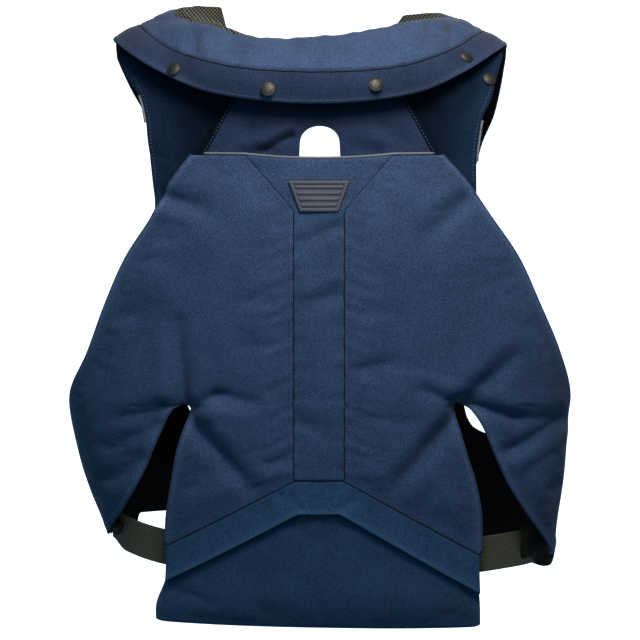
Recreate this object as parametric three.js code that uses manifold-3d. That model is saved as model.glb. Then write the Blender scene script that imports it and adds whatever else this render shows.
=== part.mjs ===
// Airbag vest for riding, in the form that it has when it is worn over a jacket.
// Millimetres, +Z up. The wearer faces +Y, so the back of the vest looks towards -Y and left is -X.
// The origin is where it sits: midway between the shoulders, at the underside of the shoulder straps.

import * as THREE from 'three';
import { mergeVertices } from 'three/addons/utils/BufferGeometryUtils.js';
import Module from 'manifold-3d';

const wasm = await Module();
wasm.setup();

const LEFT = { name: 'left', sign: -1 };
const RIGHT = { name: 'right', sign: 1 };
const SIDES = [LEFT, RIGHT];

// Thicknesses of the walls
const PANEL_EDGE = 3;
const PANEL_FULL = 7;
const PAD_RAMP = 32;
const CLOTH = 3;
const LINING = 1.6;
const TAIL_EDGE = 4;
const TAIL_FULL = 15;
const COLLAR_EDGE = 5;
const COLLAR_FULL = 17;
const BAND = 3;
const MESH = 3;
const SEAM_GAP = 0.8;
const LAYER_GAP = 0.5;

// The torso that the vest goes round
const ROUNDNESS = 2.2;
const ROUND_START = -130;
const NECK_HEIGHT = 30;
const SHOULDER_SLOPE = 0.23;
const UNDERLAP = 7;

// half-widths out to the side fold, and depths behind and in front of the middle plane, by height
const SECTIONS = table('z', [
  { z: -620, left: 232, right: 240, back: 97, front: 92 },
  { z: -562, left: 222, right: 244, back: 99, front: 96 },
  { z: -528, left: 228, right: 251, back: 101, front: 98 },
  { z: -478, left: 247, right: 260, back: 105, front: 102 },
  { z: -412, left: 263, right: 265, back: 109, front: 104 },
  { z: -300, left: 272, right: 274, back: 115, front: 106 },
  { z: -185, left: 252, right: 254, back: 118, front: 102 },
  { z: -124, left: 240, right: 240, back: 114, front: 94 },
  { z: 40, left: 236, right: 236, back: 108, front: 88 },
]);

// Back panels: their top edge, the slit beside each wing, and the wing's edge down to its tip
const BACK_TOP = -124;
const BACK_TOP_DIP = 4;
const SLIT_TOP = -384;
const SLIT_ROW_POWER = 1.5;
const SLIT_LINE_AT_TOP = 104;
const WING_TIP = { left: -530, right: -543 };
const WING_TIP_WIDTH = 5;
const WING_EDGE = table('z', [
  { z: -562, left: 222, right: 244 },
  { z: -528, left: 228, right: 251 },
  { z: -478, left: 247, right: 260 },
  { z: -427, left: 260, right: 263 },
  { z: -383, left: 265, right: 266 },
  { z: -335, left: 245, right: 253 },
  { z: -283, left: 225, right: 231 },
  { z: -231, left: 201, right: 207 },
  { z: -186, left: 171, right: 176 },
  { z: -156, left: 156, right: 156 },
  { z: -124, left: 132, right: 128 },
]);
const SLIT = table('z', [
  { z: -545, leftIn: 161, leftOut: 237, rightIn: 170, rightOut: 250 },
  { z: -505, leftIn: 160, leftOut: 211, rightIn: 170, rightOut: 220 },
  { z: -468, leftIn: 154, leftOut: 190, rightIn: 163, rightOut: 198 },
  { z: -436, leftIn: 148, leftOut: 176, rightIn: 153, rightOut: 184 },
  { z: -406, leftIn: 139, leftOut: 163, rightIn: 145, rightOut: 171 },
  { z: -396, leftIn: 136, leftOut: 158, rightIn: 143, rightOut: 165 },
  { z: -388, leftIn: 136, leftOut: 152, rightIn: 143, rightOut: 158 },
  { z: -384, leftIn: 143, leftOut: 143, rightIn: 148, rightOut: 148 },
]);

// Folds pressed into the back, each a dent along a straight line that fades towards its far end
const FOLD_FADE = 0.75;
const FOLDS = [
  { x0: -140, z0: -388, x1: -76, z1: -468, width: 17, depth: 7 },
  { x0: -144, z0: -378, x1: -148, z1: -325, width: 14, depth: 6 },
  { x0: -132, z0: -384, x1: -82, z1: -377, width: 13, depth: 4 },
  { x0: -152, z0: -388, x1: -218, z1: -420, width: 17, depth: 4 },
  { x0: -180, z0: -424, x1: -226, z1: -456, width: 16, depth: 3 },
  { x0: 143, z0: -392, x1: 86, z1: -466, width: 17, depth: 7 },
  { x0: 142, z0: -386, x1: 112, z1: -368, width: 13, depth: 5 },
  { x0: 154, z0: -378, x1: 200, z1: -331, width: 15, depth: 4 },
  { x0: 162, z0: -386, x1: 236, z1: -401, width: 15, depth: 5 },
  { x0: 206, z0: -430, x1: 246, z1: -414, width: 14, depth: 3 },
  { x0: -160, z0: -168, x1: -128, z1: -177, width: 13, depth: 5 },
  { x0: 152, z0: -174, x1: 118, z1: -205, width: 15, depth: 4 },
  { x0: -122, z0: -250, x1: -134, z1: -318, width: 30, depth: 4 },
  { x0: 178, z0: -262, x1: 152, z1: -318, width: 30, depth: 4 },
  { x0: 24, z0: -198, x1: -20, z1: -216, width: 11, depth: 3 },
  { x0: 24, z0: -266, x1: -20, z1: -282, width: 12, depth: 3 },
];

// Spine panel: a shield at the top that narrows to a straight strip
const SHIELD_HALF = 77;
const STRIP_HALF = 26;
const STRIP_TOP = -181;
const STRIP_BOTTOM = -463;
const SHIELD_ROWS = 0.2;

// Waist band: a chevron whose flat top is under the strip, and the tail panel that comes out below it
const BAND_FLAT = { upper: 26, lower: 22 };
const BAND_FLAT_SHARE = 0.15;
const BAND_HEM = 4;
const BAND_CENTRE = { upper: -464, lower: -500 };
const BAND_SIDE = { left: { x: 161, upper: -533, lower: -571 }, right: { x: 169, upper: -544, lower: -583 } };
const TAIL_TUCK = 22;
const TAIL_BULGE = 5;
const TAIL_SWELL = { from: 0.35, to: 0.75 };
const TAIL_SQUARENESS = 4;
const TAIL_MIDDLE = -575;
const TAIL_HEM = { left: -616, right: -623 };
const TAIL_EDGE_X = table('z', [
  { z: -620, left: 172, right: 168 },
  { z: -600, left: 173, right: 168 },
  { z: -575, left: 164, right: 168 },
  { z: -540, left: 158, right: 164 },
]);

// Yoke between the collar and the back panels, with an arched hole on its centre line
const YOKE_BOTTOM = -152;
const YOKE_TOP = -26;
const YOKE_SEAM = { height: -65, half: 86, slope: 0.56 };
const ARCH = { half: 21, spring: 19, crown: 17, top: -91, springHeight: -109, bottom: -138 };
const ARCH_CUT = { near: -60, reach: 80 };

// Shoulder panels and front panels, which meet on top of the shoulders
const SHOULDER_BOTTOM = -192;
const SHOULDER_HEIGHT = -10;
const SHOULDER_TOP_ANGLE = Math.PI / 2 - 0.0065;
const NECK_HALF = 100;
const NECK_MIDDLE = { height: -26, half: 63 };
const NECK_BACK_SHARES = [-0.7, 0, 0.7];
const NECK_SIDE = { behind: -4, front: -12 };
const SHOULDER_EDGE = table('z', [
  { z: -195, left: 171, right: 163 },
  { z: -150, left: 176, right: 162 },
  { z: -108, left: 181, right: 165 },
  { z: -85, left: 183, right: 169 },
  { z: -62, left: 189, right: 180 },
  { z: -40, left: 202, right: 187 },
  { z: -15, left: 213, right: 194 },
]);
const FRONT_EDGE = table('z', [
  { z: -424, left: 138, right: 162 },
  { z: -406, left: 138, right: 158 },
  { z: -330, left: 142, right: 150 },
  { z: -240, left: 148, right: 149 },
  { z: -180, left: 158, right: 158 },
  { z: -146, left: 168, right: 167 },
  { z: -119, left: 177, right: 173 },
  { z: -93, left: 185, right: 183 },
  { z: -60, left: 200, right: 190 },
  { z: -20, left: 215, right: 198 },
]);
const VEE_BOTTOM = -214;
const FRONT_HALF_GAP = 8;
const WAIST_TOP = { left: -424, right: -421 };
const FRONT_HEM = { middle: -524, left: -521, right: -534 };
const FRONT_HEM_SIDE = { left: -534, right: -562 };
const ARMHOLE_DIP = { left: -30, right: 18 };
const UNDERARM = -412;
const ZIP_WIDTH = 15;
const ZIP_DROP = 6;

// Collar rails, from the nape round over one shoulder to the front end: rim, band's seam and band's edge.
// Half-widths are for a collar of even reach, and each side stretches them to its own.
const COLLAR_REACH = { left: 1.045, right: 0.955 };
const COLLAR_STATIONS = [
  { rimX: 0, rimY: -86, rimZ: -4, seamX: 0, seamY: -126, seamZ: -39, edgeX: 0, edgeY: -134, edgeZ: -69 },
  { rimX: 62, rimY: -76, rimZ: -4, seamX: 92, seamY: -112, seamZ: -34, edgeX: 106, edgeY: -119, edgeZ: -58 },
  { rimX: 100, rimY: -52, rimZ: 5, seamX: 140, seamY: -80, seamZ: -20, edgeX: 158, edgeY: -86, edgeZ: -39 },
  { rimX: 128, rimY: -25, rimZ: 13, seamX: 166, seamY: -42, seamZ: -6, edgeX: 189, edgeY: -46, edgeZ: -23 },
  { rimX: 139, rimY: 6, rimZ: 18, seamX: 180, seamY: 4, seamZ: 4, edgeX: 206, edgeY: 3, edgeZ: -12 },
  { rimX: 131, rimY: 34, rimZ: 17, seamX: 174, seamY: 46, seamZ: -4, edgeX: 199, edgeY: 50, edgeZ: -24 },
  { rimX: 104, rimY: 56, rimZ: 15, seamX: 146, seamY: 78, seamZ: -25, edgeX: 169, edgeY: 84, edgeZ: -50 },
];
const ROLL_BULGE = 8;
const ROLL_SQUARENESS = 0.7;
const ROLL_END = 1 / 12;
const BAND_BULGE = 2;
const LINING_RISE = 4;
const LINING_DROP = 0.3;
const LINING_INSET = new THREE.Vector3(0.97, 0.97, 1);

// Trim
const SNAP = { radius: 7, domeRadius: 6.3, height: 3.2, flange: 1, sides: 12 };
const BAND_SNAPS = [
  { name: 'collar_snap_1', x: -149, across: 0.68 },
  { name: 'collar_snap_2', x: -52, across: 0.62 },
  { name: 'collar_snap_3', x: 58, across: 0.5 },
  { name: 'collar_snap_4', x: 152, across: 0.52 },
];
const SHOULDER_SNAP = { x: 178, z: -47 };
const COLLAR_BACK = { low: 0.1, high: 0.9, halvings: 30 };
const NEARBY = { share: 0.01, distance: 4 };
const PIPING_RADIUS = 1.6;
const PIPING_SIDES = 8;
const PIPING_STEPS = { back: 12, shoulder: 6 };
const SHOULDER_PIPING = { left: { top: -73, bottom: -97 }, right: { top: -86, bottom: -118 } };
const BADGE = { top: -150, bottom: -181, topHalf: 31, bottomHalf: 19.5, thickness: 2, rib: 1.2, ribRows: 10 };
const STRAP = { width: 38, thickness: 2 };
const STRAP_PATH = {
  left: [
    { x: 126, y: -67, z: -546 },
    { x: 156, y: -62, z: -542 },
    { x: 184, y: -47, z: -537 },
    { x: 206, y: -24, z: -532 },
    { x: 221, y: 6, z: -530 },
  ],
  right: [
    { x: 130, y: -69.5, z: -549 },
    { x: 162, y: -64, z: -547 },
    { x: 194, y: -48, z: -545 },
    { x: 222, y: -26, z: -543 },
    { x: 238.5, y: 6, z: -542 },
  ],
};

// Finishes
const NAVY = new THREE.MeshStandardMaterial({ name: 'navy_cloth', color: 0x24385c, roughness: 0.85 });
const BLACK = new THREE.MeshStandardMaterial({ name: 'black_lining', color: 0x0a0a0c, roughness: 0.9 });
const BLACK_MESH = new THREE.MeshStandardMaterial({ name: 'black_mesh', color: 0x22241f, roughness: 0.95 });
const WEBBING = new THREE.MeshStandardMaterial({ name: 'webbing', color: 0x24271f, roughness: 0.8 });
const GREY = new THREE.MeshStandardMaterial({ name: 'grey_piping', color: 0x8b9694, roughness: 0.5 });
const GUNMETAL = new THREE.MeshStandardMaterial({ name: 'gunmetal', color: 0x56584c, metalness: 0.9 });
GUNMETAL.roughness = 0.35;
const RUBBER = new THREE.MeshStandardMaterial({ name: 'rubber', color: 0x4a5058, roughness: 0.6 });

const vest = new THREE.Group();
vest.name = 'airbag_vest';

// Rows of named columns as smooth curves over one of the columns
function table(key, rows) {
  const sorted = [...rows].sort((a, b) => a[key] - b[key]);
  const keys = sorted.map((row) => row[key]);
  const curves = {};
  for (const column of Object.keys(rows[0])) {
    curves[column] = new THREE.CubicInterpolant(keys, sorted.map((row) => row[column]), 1);
  }
  return { at: (value, column) => curves[column].evaluate(value)[0] };
}

function shoulderLine(x) {
  return NECK_HEIGHT - SHOULDER_SLOPE * Math.abs(x);
}

// A point of the torso's back or front, at a place across and a height
function torso(x, z, face) {
  const half = SECTIONS.at(z, x < 0 ? 'left' : 'right');
  const across = Math.min(Math.abs(x) / half, 1);
  const plan = (1 - across ** ROUNDNESS) ** (1 / ROUNDNESS);
  const climb = THREE.MathUtils.clamp((z - ROUND_START) / (shoulderLine(x) - ROUND_START), 0, 1);
  const depth = SECTIONS.at(z, face) * plan * Math.sqrt(1 - climb * climb);
  return new THREE.Vector3(x, face === 'back' ? -depth : depth, z);
}

// How far the folds press the back in at a place
function foldDepth(x, z) {
  const here = new THREE.Vector3(x, 0, z);
  const nearest = new THREE.Vector3();
  let depth = 0;
  for (const fold of FOLDS) {
    const start = new THREE.Vector3(fold.x0, 0, fold.z0);
    const line = new THREE.Line3(start, new THREE.Vector3(fold.x1, 0, fold.z1));
    const along = line.closestPointToPointParameter(here, true);
    const away = line.at(along, nearest).distanceTo(here);
    const taper = Math.sqrt(1 - FOLD_FADE * along);
    depth += fold.depth * taper * Math.exp(-((away / fold.width) ** 2));
  }
  return depth;
}

// A padded panel's thickness, by the distance to its nearest seam
function padding(distance) {
  return PANEL_EDGE + (PANEL_FULL - PANEL_EDGE) * THREE.MathUtils.smoothstep(distance, 0, PAD_RAMP);
}

// Points in rows, each with its wall's thickness and how far it is lifted off along the surface's normal
function grid(rowCount, columnCount, pointAt) {
  const rows = [];
  for (let j = 0; j <= rowCount; j++) {
    const row = [];
    for (let i = 0; i <= columnCount; i++) {
      row.push(pointAt(i / columnCount, j / rowCount));
    }
    rows.push(row);
  }
  return rows;
}

// A closed wall round grids of middle points. Grids that share points are joined there.
function wall(...grids) {
  const points = [];
  const quads = [];
  const known = new Map();
  const indexOf = (point) => {
    const key = point.at.toArray().map((value) => value.toFixed(2)).join();
    if (!known.has(key)) {
      known.set(key, points.length);
      points.push({ ...point, normal: new THREE.Vector3() });
    }
    return known.get(key);
  };
  for (const rows of grids) {
    for (let j = 0; j + 1 < rows.length; j++) {
      for (let i = 0; i + 1 < rows[j].length; i++) {
        quads.push([rows[j + 1][i], rows[j + 1][i + 1], rows[j][i + 1], rows[j][i]].map(indexOf));
      }
    }
  }
  const outer = quads.flatMap(([a, b, c, d]) => [[a, b, c], [a, c, d]]);
  const faces = outer.filter(([a, b, c]) => a !== b && b !== c && c !== a);

  for (const face of faces) {
    const [a, b, c] = face.map((index) => points[index].at);
    const normal = b.clone().sub(a).cross(c.clone().sub(a));
    face.forEach((index) => points[index].normal.add(normal));
  }
  const offset = ({ at, normal, thickness, lift = 0 }, side) =>
    at.clone().addScaledVector(normal.clone().normalize(), lift + (side * thickness) / 2);
  const positions = [1, -1].flatMap((side) => points.flatMap((point) => offset(point, side).toArray()));

  const count = points.length;
  const edges = new Set(faces.flatMap(([a, b, c]) => [`${a},${b}`, `${b},${c}`, `${c},${a}`]));
  const pairs = [...edges].map((edge) => edge.split(',').map(Number));
  const rims = pairs.filter(([a, b]) => !edges.has(`${b},${a}`));
  const index = [
    ...faces.flat(),
    ...faces.flatMap(([a, b, c]) => [a + count, c + count, b + count]),
    ...rims.flatMap(([a, b]) => [b, a, a + count, b, a + count, b + count]),
  ];
  const geometry = new THREE.BufferGeometry();
  geometry.setAttribute('position', new THREE.Float32BufferAttribute(positions, 3));
  geometry.setIndex(index);
  return geometry;
}

function addPiece(name, geometry, material) {
  geometry.computeVertexNormals();
  const mesh = new THREE.Mesh(geometry, material);
  mesh.name = name;
  vest.add(mesh);
  return mesh;
}

function toSolid(geometry) {
  const bare = geometry.clone();
  bare.deleteAttribute('normal');
  bare.deleteAttribute('uv');
  const merged = mergeVertices(bare, 1e-3);
  return new wasm.Manifold(
    new wasm.Mesh({
      numProp: 3,
      vertProperties: merged.attributes.position.array,
      triVerts: new Uint32Array(merged.index.array),
    }),
  );
}

function cutAway(geometry, tool) {
  const mesh = toSolid(geometry).subtract(toSolid(tool)).getMesh();
  const cut = new THREE.BufferGeometry();
  cut.setAttribute('position', new THREE.Float32BufferAttribute(mesh.vertProperties, 3));
  cut.setIndex([...mesh.triVerts]);
  return cut;
}

// Outlines of the back, seen from behind

function spineHalf(z) {
  const share = THREE.MathUtils.clamp((z - STRIP_TOP) / (BACK_TOP - STRIP_TOP), 0, 1);
  return THREE.MathUtils.lerp(STRIP_HALF, SHIELD_HALF, share);
}

// Heights of rows from a top to a bottom, with one row where the shield meets the strip
function shieldRow(top, bottom, v) {
  if (v < SHIELD_ROWS) {
    return THREE.MathUtils.lerp(top, STRIP_TOP, v / SHIELD_ROWS);
  }
  return THREE.MathUtils.lerp(STRIP_TOP, bottom, (v - SHIELD_ROWS) / (1 - SHIELD_ROWS));
}

// The waist band's upper or lower edge, from its left end at -1 to its right end at 1
function bandEdge(share, edge) {
  const end = BAND_SIDE[share < 0 ? 'left' : 'right'];
  const along = Math.max(0, (Math.abs(share) - BAND_FLAT_SHARE) / (1 - BAND_FLAT_SHARE));
  const flat = BAND_FLAT[edge] * Math.min(1, Math.abs(share) / BAND_FLAT_SHARE);
  const x = Math.sign(share) * THREE.MathUtils.lerp(flat, end.x, along);
  return { x, z: THREE.MathUtils.lerp(BAND_CENTRE[edge], end[edge], along) };
}

// The waist band's upper or lower edge at a place across
function bandHeight(x, edge) {
  const end = BAND_SIDE[x < 0 ? 'left' : 'right'];
  const along = Math.max(0, (Math.abs(x) - BAND_FLAT[edge]) / (end.x - BAND_FLAT[edge]));
  return THREE.MathUtils.lerp(BAND_CENTRE[edge], end[edge], along);
}

function yokeSeam(z) {
  return YOKE_SEAM.half + (YOKE_SEAM.height - z) * YOKE_SEAM.slope;
}

// How far the yoke and shoulder panels lie under the back panels: most at the foot, flush on the shoulders
function underlap(z) {
  return -UNDERLAP * THREE.MathUtils.clamp(z / BACK_TOP, 0, 1);
}

// The line that the slit follows, on up to the back panel's top edge
function slitLine(side, z) {
  const apex = SLIT.at(SLIT_TOP, `${side.name}In`);
  const share = (z - SLIT_TOP) / (BACK_TOP - SLIT_TOP);
  return THREE.MathUtils.lerp(apex, SLIT_LINE_AT_TOP, share);
}

// Back panel of one side: the part beside the spine, and the wing, joined above the slit

function wingEdge(side, z) {
  return Math.min(WING_EDGE.at(z, side.name), SECTIONS.at(z, side.name));
}

function backPoint(side, x, z, seamDistance) {
  const at = torso(side.sign * x, z, 'back');
  at.y = Math.min(at.y, -SEAM_GAP / 2);
  return { at, lift: -foldDepth(at.x, z), thickness: padding(seamDistance) };
}

function backPanel(side) {
  const inner = `${side.name}In`;
  const outer = `${side.name}Out`;
  const rightward = (u) => (side === LEFT ? 1 - u : u);
  const upperRow = (v) => shieldRow(BACK_TOP, SLIT_TOP, v);
  const spineEdge = (z) => spineHalf(z) + SEAM_GAP / 2;

  const besideSpine = grid(15, 6, (u, v) => {
    const z = upperRow(v);
    const x = THREE.MathUtils.lerp(spineEdge(z), slitLine(side, z), rightward(u));
    return backPoint(side, x, z, Math.min(x - spineEdge(z), BACK_TOP - z));
  });
  const belowApex = grid(9, 6, (u, v) => {
    const share = rightward(u);
    const down = v ** SLIT_ROW_POWER;
    const slit = SLIT.at(THREE.MathUtils.lerp(SLIT_TOP, BAND_SIDE[side.name].upper, down), inner);
    const x = THREE.MathUtils.lerp(spineEdge(SLIT_TOP), slit, share);
    const foot = bandHeight(side.sign * x, 'upper') + SEAM_GAP / 2;
    const z = THREE.MathUtils.lerp(SLIT_TOP, foot, down);
    const toSlit = v === 0 ? PAD_RAMP : slit - x;
    return backPoint(side, x, z, Math.min(x - spineEdge(z), z - foot, toSlit));
  });
  const upperWing = grid(15, 7, (u, v) => {
    const z = upperRow(v);
    const edge = wingEdge(side, z);
    const x = THREE.MathUtils.lerp(slitLine(side, z), edge, Math.sin((rightward(u) * Math.PI) / 2));
    return backPoint(side, x, z, Math.min(edge - x, BACK_TOP - z));
  });
  const lowerWing = grid(9, 7, (u, v) => {
    const z = THREE.MathUtils.lerp(SLIT_TOP, WING_TIP[side.name], v ** SLIT_ROW_POWER);
    const edge = wingEdge(side, z);
    const slit = Math.min(SLIT.at(z, outer), edge - WING_TIP_WIDTH);
    const x = THREE.MathUtils.lerp(slit, edge, Math.sin((rightward(u) * Math.PI) / 2));
    const toSlit = v === 0 ? PAD_RAMP : x - slit;
    return backPoint(side, x, z, Math.min(edge - x, toSlit, z - WING_TIP[side.name]));
  });
  addPiece(`back_panel_${side.name}`, wall(besideSpine, belowApex, upperWing, lowerWing), NAVY);
}

function spinePanel() {
  const geometry = wall(
    grid(20, 4, (u, v) => {
      const across = 2 * u - 1;
      const dip = BACK_TOP_DIP * (1 - across * across) * (1 - v);
      const z = shieldRow(BACK_TOP - dip, STRIP_BOTTOM + SEAM_GAP / 2, v);
      const half = spineHalf(z) - SEAM_GAP / 2;
      const at = torso(across * half, z, 'back');
      return { at, lift: -foldDepth(at.x, z), thickness: padding(half * (1 - Math.abs(across))) };
    }),
  );
  addPiece('spine_panel', geometry, NAVY);
}

function waistBand() {
  const geometry = wall(
    grid(3, 26, (u, v) => {
      const upper = bandEdge(2 * u - 1, 'upper');
      const lower = bandEdge(2 * u - 1, 'lower');
      const z = THREE.MathUtils.lerp(upper.z - SEAM_GAP / 2, lower.z, v);
      const at = torso(THREE.MathUtils.lerp(upper.x, lower.x, v), z, 'back');
      return { at, thickness: THREE.MathUtils.lerp(CLOTH, BAND_HEM, v) };
    }),
  );
  addPiece('waist_band', geometry, NAVY);
}

// A padded pouch that starts behind the waist band and swells out below it
function tailPanel() {
  const geometry = wall(
    grid(9, 16, (u, v) => {
      const across = 2 * u - 1;
      const side = across < 0 ? LEFT : RIGHT;
      const hem = THREE.MathUtils.lerp(TAIL_HEM.left, TAIL_HEM.right, u);
      const middleX = Math.abs(across) * TAIL_EDGE_X.at(TAIL_MIDDLE, side.name);
      const tuck = bandHeight(side.sign * middleX, 'lower') + TAIL_TUCK;
      const z = THREE.MathUtils.lerp(tuck, hem, v);
      const x = across * TAIL_EDGE_X.at(z, side.name);
      const wide = 1 - across ** TAIL_SQUARENESS;
      const high = 1 - (2 * v - 1) ** TAIL_SQUARENESS;
      const fullness = Math.sqrt(Math.max(0, wide * high));
      const thickness = THREE.MathUtils.lerp(TAIL_EDGE, TAIL_FULL, fullness);
      const bulge = TAIL_BULGE * THREE.MathUtils.smoothstep(v, TAIL_SWELL.from, TAIL_SWELL.to) * fullness;
      return { at: torso(x, z, 'back'), lift: bulge - BAND_HEM / 2 - LAYER_GAP - thickness / 2, thickness };
    }),
  );
  addPiece('tail_panel', geometry, NAVY);
}

// Yoke and shoulder panels

function archTool() {
  const outline = new THREE.Shape();
  outline.moveTo(-ARCH.half, ARCH.bottom);
  outline.lineTo(ARCH.half, ARCH.bottom);
  outline.lineTo(ARCH.spring, ARCH.springHeight);
  outline.bezierCurveTo(ARCH.crown, ARCH.top, -ARCH.crown, ARCH.top, -ARCH.spring, ARCH.springHeight);
  const options = { depth: ARCH_CUT.reach, bevelEnabled: false, curveSegments: 12 };
  const tool = new THREE.ExtrudeGeometry(outline, options);
  return tool.rotateX(Math.PI / 2).translate(0, ARCH_CUT.near, 0);
}

function yokePanel() {
  const geometry = wall(
    grid(7, 10, (u, v) => {
      const z = THREE.MathUtils.lerp(YOKE_TOP, YOKE_BOTTOM, v);
      const x = (2 * u - 1) * (yokeSeam(z) - SEAM_GAP / 2);
      return { at: torso(x, z, 'back'), lift: underlap(z), thickness: CLOTH };
    }),
  );
  addPiece('yoke_panel', cutAway(geometry, archTool()), NAVY);
}

// The neck's edge on the shoulder panels: along the yoke's seam, then out to the shoulder line
function neckEdge(z) {
  const climb = shoulderLine(NECK_HALF) - NECK_MIDDLE.height;
  const share = THREE.MathUtils.clamp((z - NECK_MIDDLE.height) / climb, 0, 1);
  return THREE.MathUtils.lerp(NECK_MIDDLE.half, NECK_HALF, Math.sin((share * Math.PI) / 2));
}

// A row's height at a place across, for a row that climbs over the shoulder by an angle
function climbedHeight(x, angle) {
  return THREE.MathUtils.lerp(ROUND_START, shoulderLine(x), Math.sin(angle));
}

function shoulderPanel(side) {
  const outward = (u) => (side === LEFT ? 1 - u : u);
  const middle = (NECK_HALF + SHOULDER_EDGE.at(SHOULDER_HEIGHT, side.name)) / 2;
  const point = (x, z) => {
    const at = torso(side.sign * x, z, 'back');
    return { at, lift: underlap(z) - foldDepth(at.x, z), thickness: CLOTH };
  };
  const seam = (z) => (z > NECK_MIDDLE.height ? neckEdge(z) : yokeSeam(z) + SEAM_GAP / 2);
  const overShoulder = grid(9, 5, (u, v) => {
    const angle = (1 - v) * SHOULDER_TOP_ANGLE;
    const nominal = climbedHeight(middle, angle);
    const x = THREE.MathUtils.lerp(seam(nominal), SHOULDER_EDGE.at(nominal, side.name), outward(u));
    return point(x, climbedHeight(x, angle));
  });
  const underBack = grid(4, 5, (u, v) => {
    const z = THREE.MathUtils.lerp(ROUND_START, SHOULDER_BOTTOM, v);
    return point(THREE.MathUtils.lerp(seam(z), SHOULDER_EDGE.at(z, side.name), outward(u)), z);
  });
  addPiece(`shoulder_panel_${side.name}`, wall(overShoulder, underBack), NAVY);
}

// Front panels: a strap down the chest that widens into a waist reaching round to the wing

function frontInner(z) {
  const top = shoulderLine(NECK_HALF);
  const share = THREE.MathUtils.clamp((z - VEE_BOTTOM) / (top - VEE_BOTTOM), 0, 1);
  return THREE.MathUtils.lerp(FRONT_HALF_GAP, NECK_HALF, share);
}

function frontGrids(side, lift, thickness) {
  const outward = (u) => (side === LEFT ? u : 1 - u);
  const middle = (NECK_HALF + FRONT_EDGE.at(SHOULDER_HEIGHT, side.name)) / 2;
  const columns = 5;
  const waistTop = WAIST_TOP[side.name];
  const strapEdge = FRONT_EDGE.at(waistTop, side.name);
  const point = (x, z) => ({ at: torso(side.sign * x, z, 'front'), lift, thickness });

  const overShoulder = grid(7, columns, (u, v) => {
    const angle = (1 - v) * SHOULDER_TOP_ANGLE;
    const nominal = climbedHeight(middle, angle);
    const x = THREE.MathUtils.lerp(frontInner(nominal), FRONT_EDGE.at(nominal, side.name), outward(u));
    return point(x, climbedHeight(x, angle));
  });
  const chest = grid(12, columns, (u, v) => {
    const z = THREE.MathUtils.lerp(ROUND_START, waistTop, v);
    return point(THREE.MathUtils.lerp(frontInner(z), FRONT_EDGE.at(z, side.name), outward(u)), z);
  });
  const sideHem = FRONT_HEM_SIDE[side.name];
  const hem = (x) => {
    const inner = THREE.MathUtils.clamp(x / strapEdge, 0, 1);
    const outer = THREE.MathUtils.smoothstep(x, strapEdge, SECTIONS.at(sideHem, side.name));
    const strapHem = THREE.MathUtils.lerp(FRONT_HEM.middle, FRONT_HEM[side.name], inner);
    return THREE.MathUtils.lerp(strapHem, sideHem, outer);
  };
  const waist = grid(5, columns, (u, v) => {
    const x = THREE.MathUtils.lerp(FRONT_HALF_GAP, strapEdge, outward(u));
    return point(x, THREE.MathUtils.lerp(waistTop, hem(x), v));
  });
  const flank = grid(5, 7, (u, v) => {
    const share = Math.sin((outward(u) * Math.PI) / 2);
    const dip = ARMHOLE_DIP[side.name] * Math.sqrt(Math.sin(Math.PI * share));
    const top = THREE.MathUtils.lerp(waistTop, UNDERARM, share) - dip;
    const nearX = THREE.MathUtils.lerp(strapEdge, SECTIONS.at(UNDERARM, side.name), share);
    const z = THREE.MathUtils.lerp(top, hem(nearX), v);
    const made = point(THREE.MathUtils.lerp(strapEdge, SECTIONS.at(z, side.name), share), z);
    made.at.y = Math.max(made.at.y, SEAM_GAP / 2);
    return made;
  });
  return { strap: [overShoulder, chest], waist: [waist, flank] };
}

function frontPanel(side) {
  const { strap, waist } = frontGrids(side, 0, CLOTH);
  addPiece(`front_panel_${side.name}`, wall(...strap, ...waist), NAVY);
  const lining = frontGrids(side, -(CLOTH + LINING) / 2 - LAYER_GAP, LINING);
  addPiece(`front_lining_${side.name}`, wall(...lining.waist), BLACK);
}

function frontZip() {
  const geometry = wall(
    grid(12, 2, (u, v) => {
      const x = (1 - 2 * u) * (ZIP_WIDTH / 2);
      const z = THREE.MathUtils.lerp(VEE_BOTTOM - ZIP_DROP, FRONT_HEM.middle, v);
      return { at: torso(x, z, 'front'), thickness: CLOTH };
    }),
  );
  addPiece('front_zip', geometry, BLACK);
}

// Collar: a padded roll from the rim to the band's seam, the band below it, and a mesh lining inside

function collarRail(rail) {
  const points = SIDES.flatMap((side) => {
    const stations = side === LEFT ? [...COLLAR_STATIONS].reverse() : COLLAR_STATIONS.slice(1);
    return stations.map(
      (row) =>
        new THREE.Vector3(
          side.sign * row[`${rail}X`] * COLLAR_REACH[side.name],
          row[`${rail}Y`],
          row[`${rail}Z`],
        ),
    );
  });
  return new THREE.CatmullRomCurve3(points, false, 'centripetal');
}

const RIM = collarRail('rim');
const BAND_SEAM = collarRail('seam');
const COLLAR_EDGE_RAIL = collarRail('edge');

// A place on the cloth between two rails, bowed out from the straight line between them
function betweenRails(from, to, along, across, bulge) {
  const start = from.getPoint(along);
  const end = to.getPoint(along);
  const outward = from.getTangent(along).cross(start.clone().sub(end)).normalize();
  return start.lerp(end, across).addScaledVector(outward, bulge * Math.sin(Math.PI * across));
}

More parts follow.
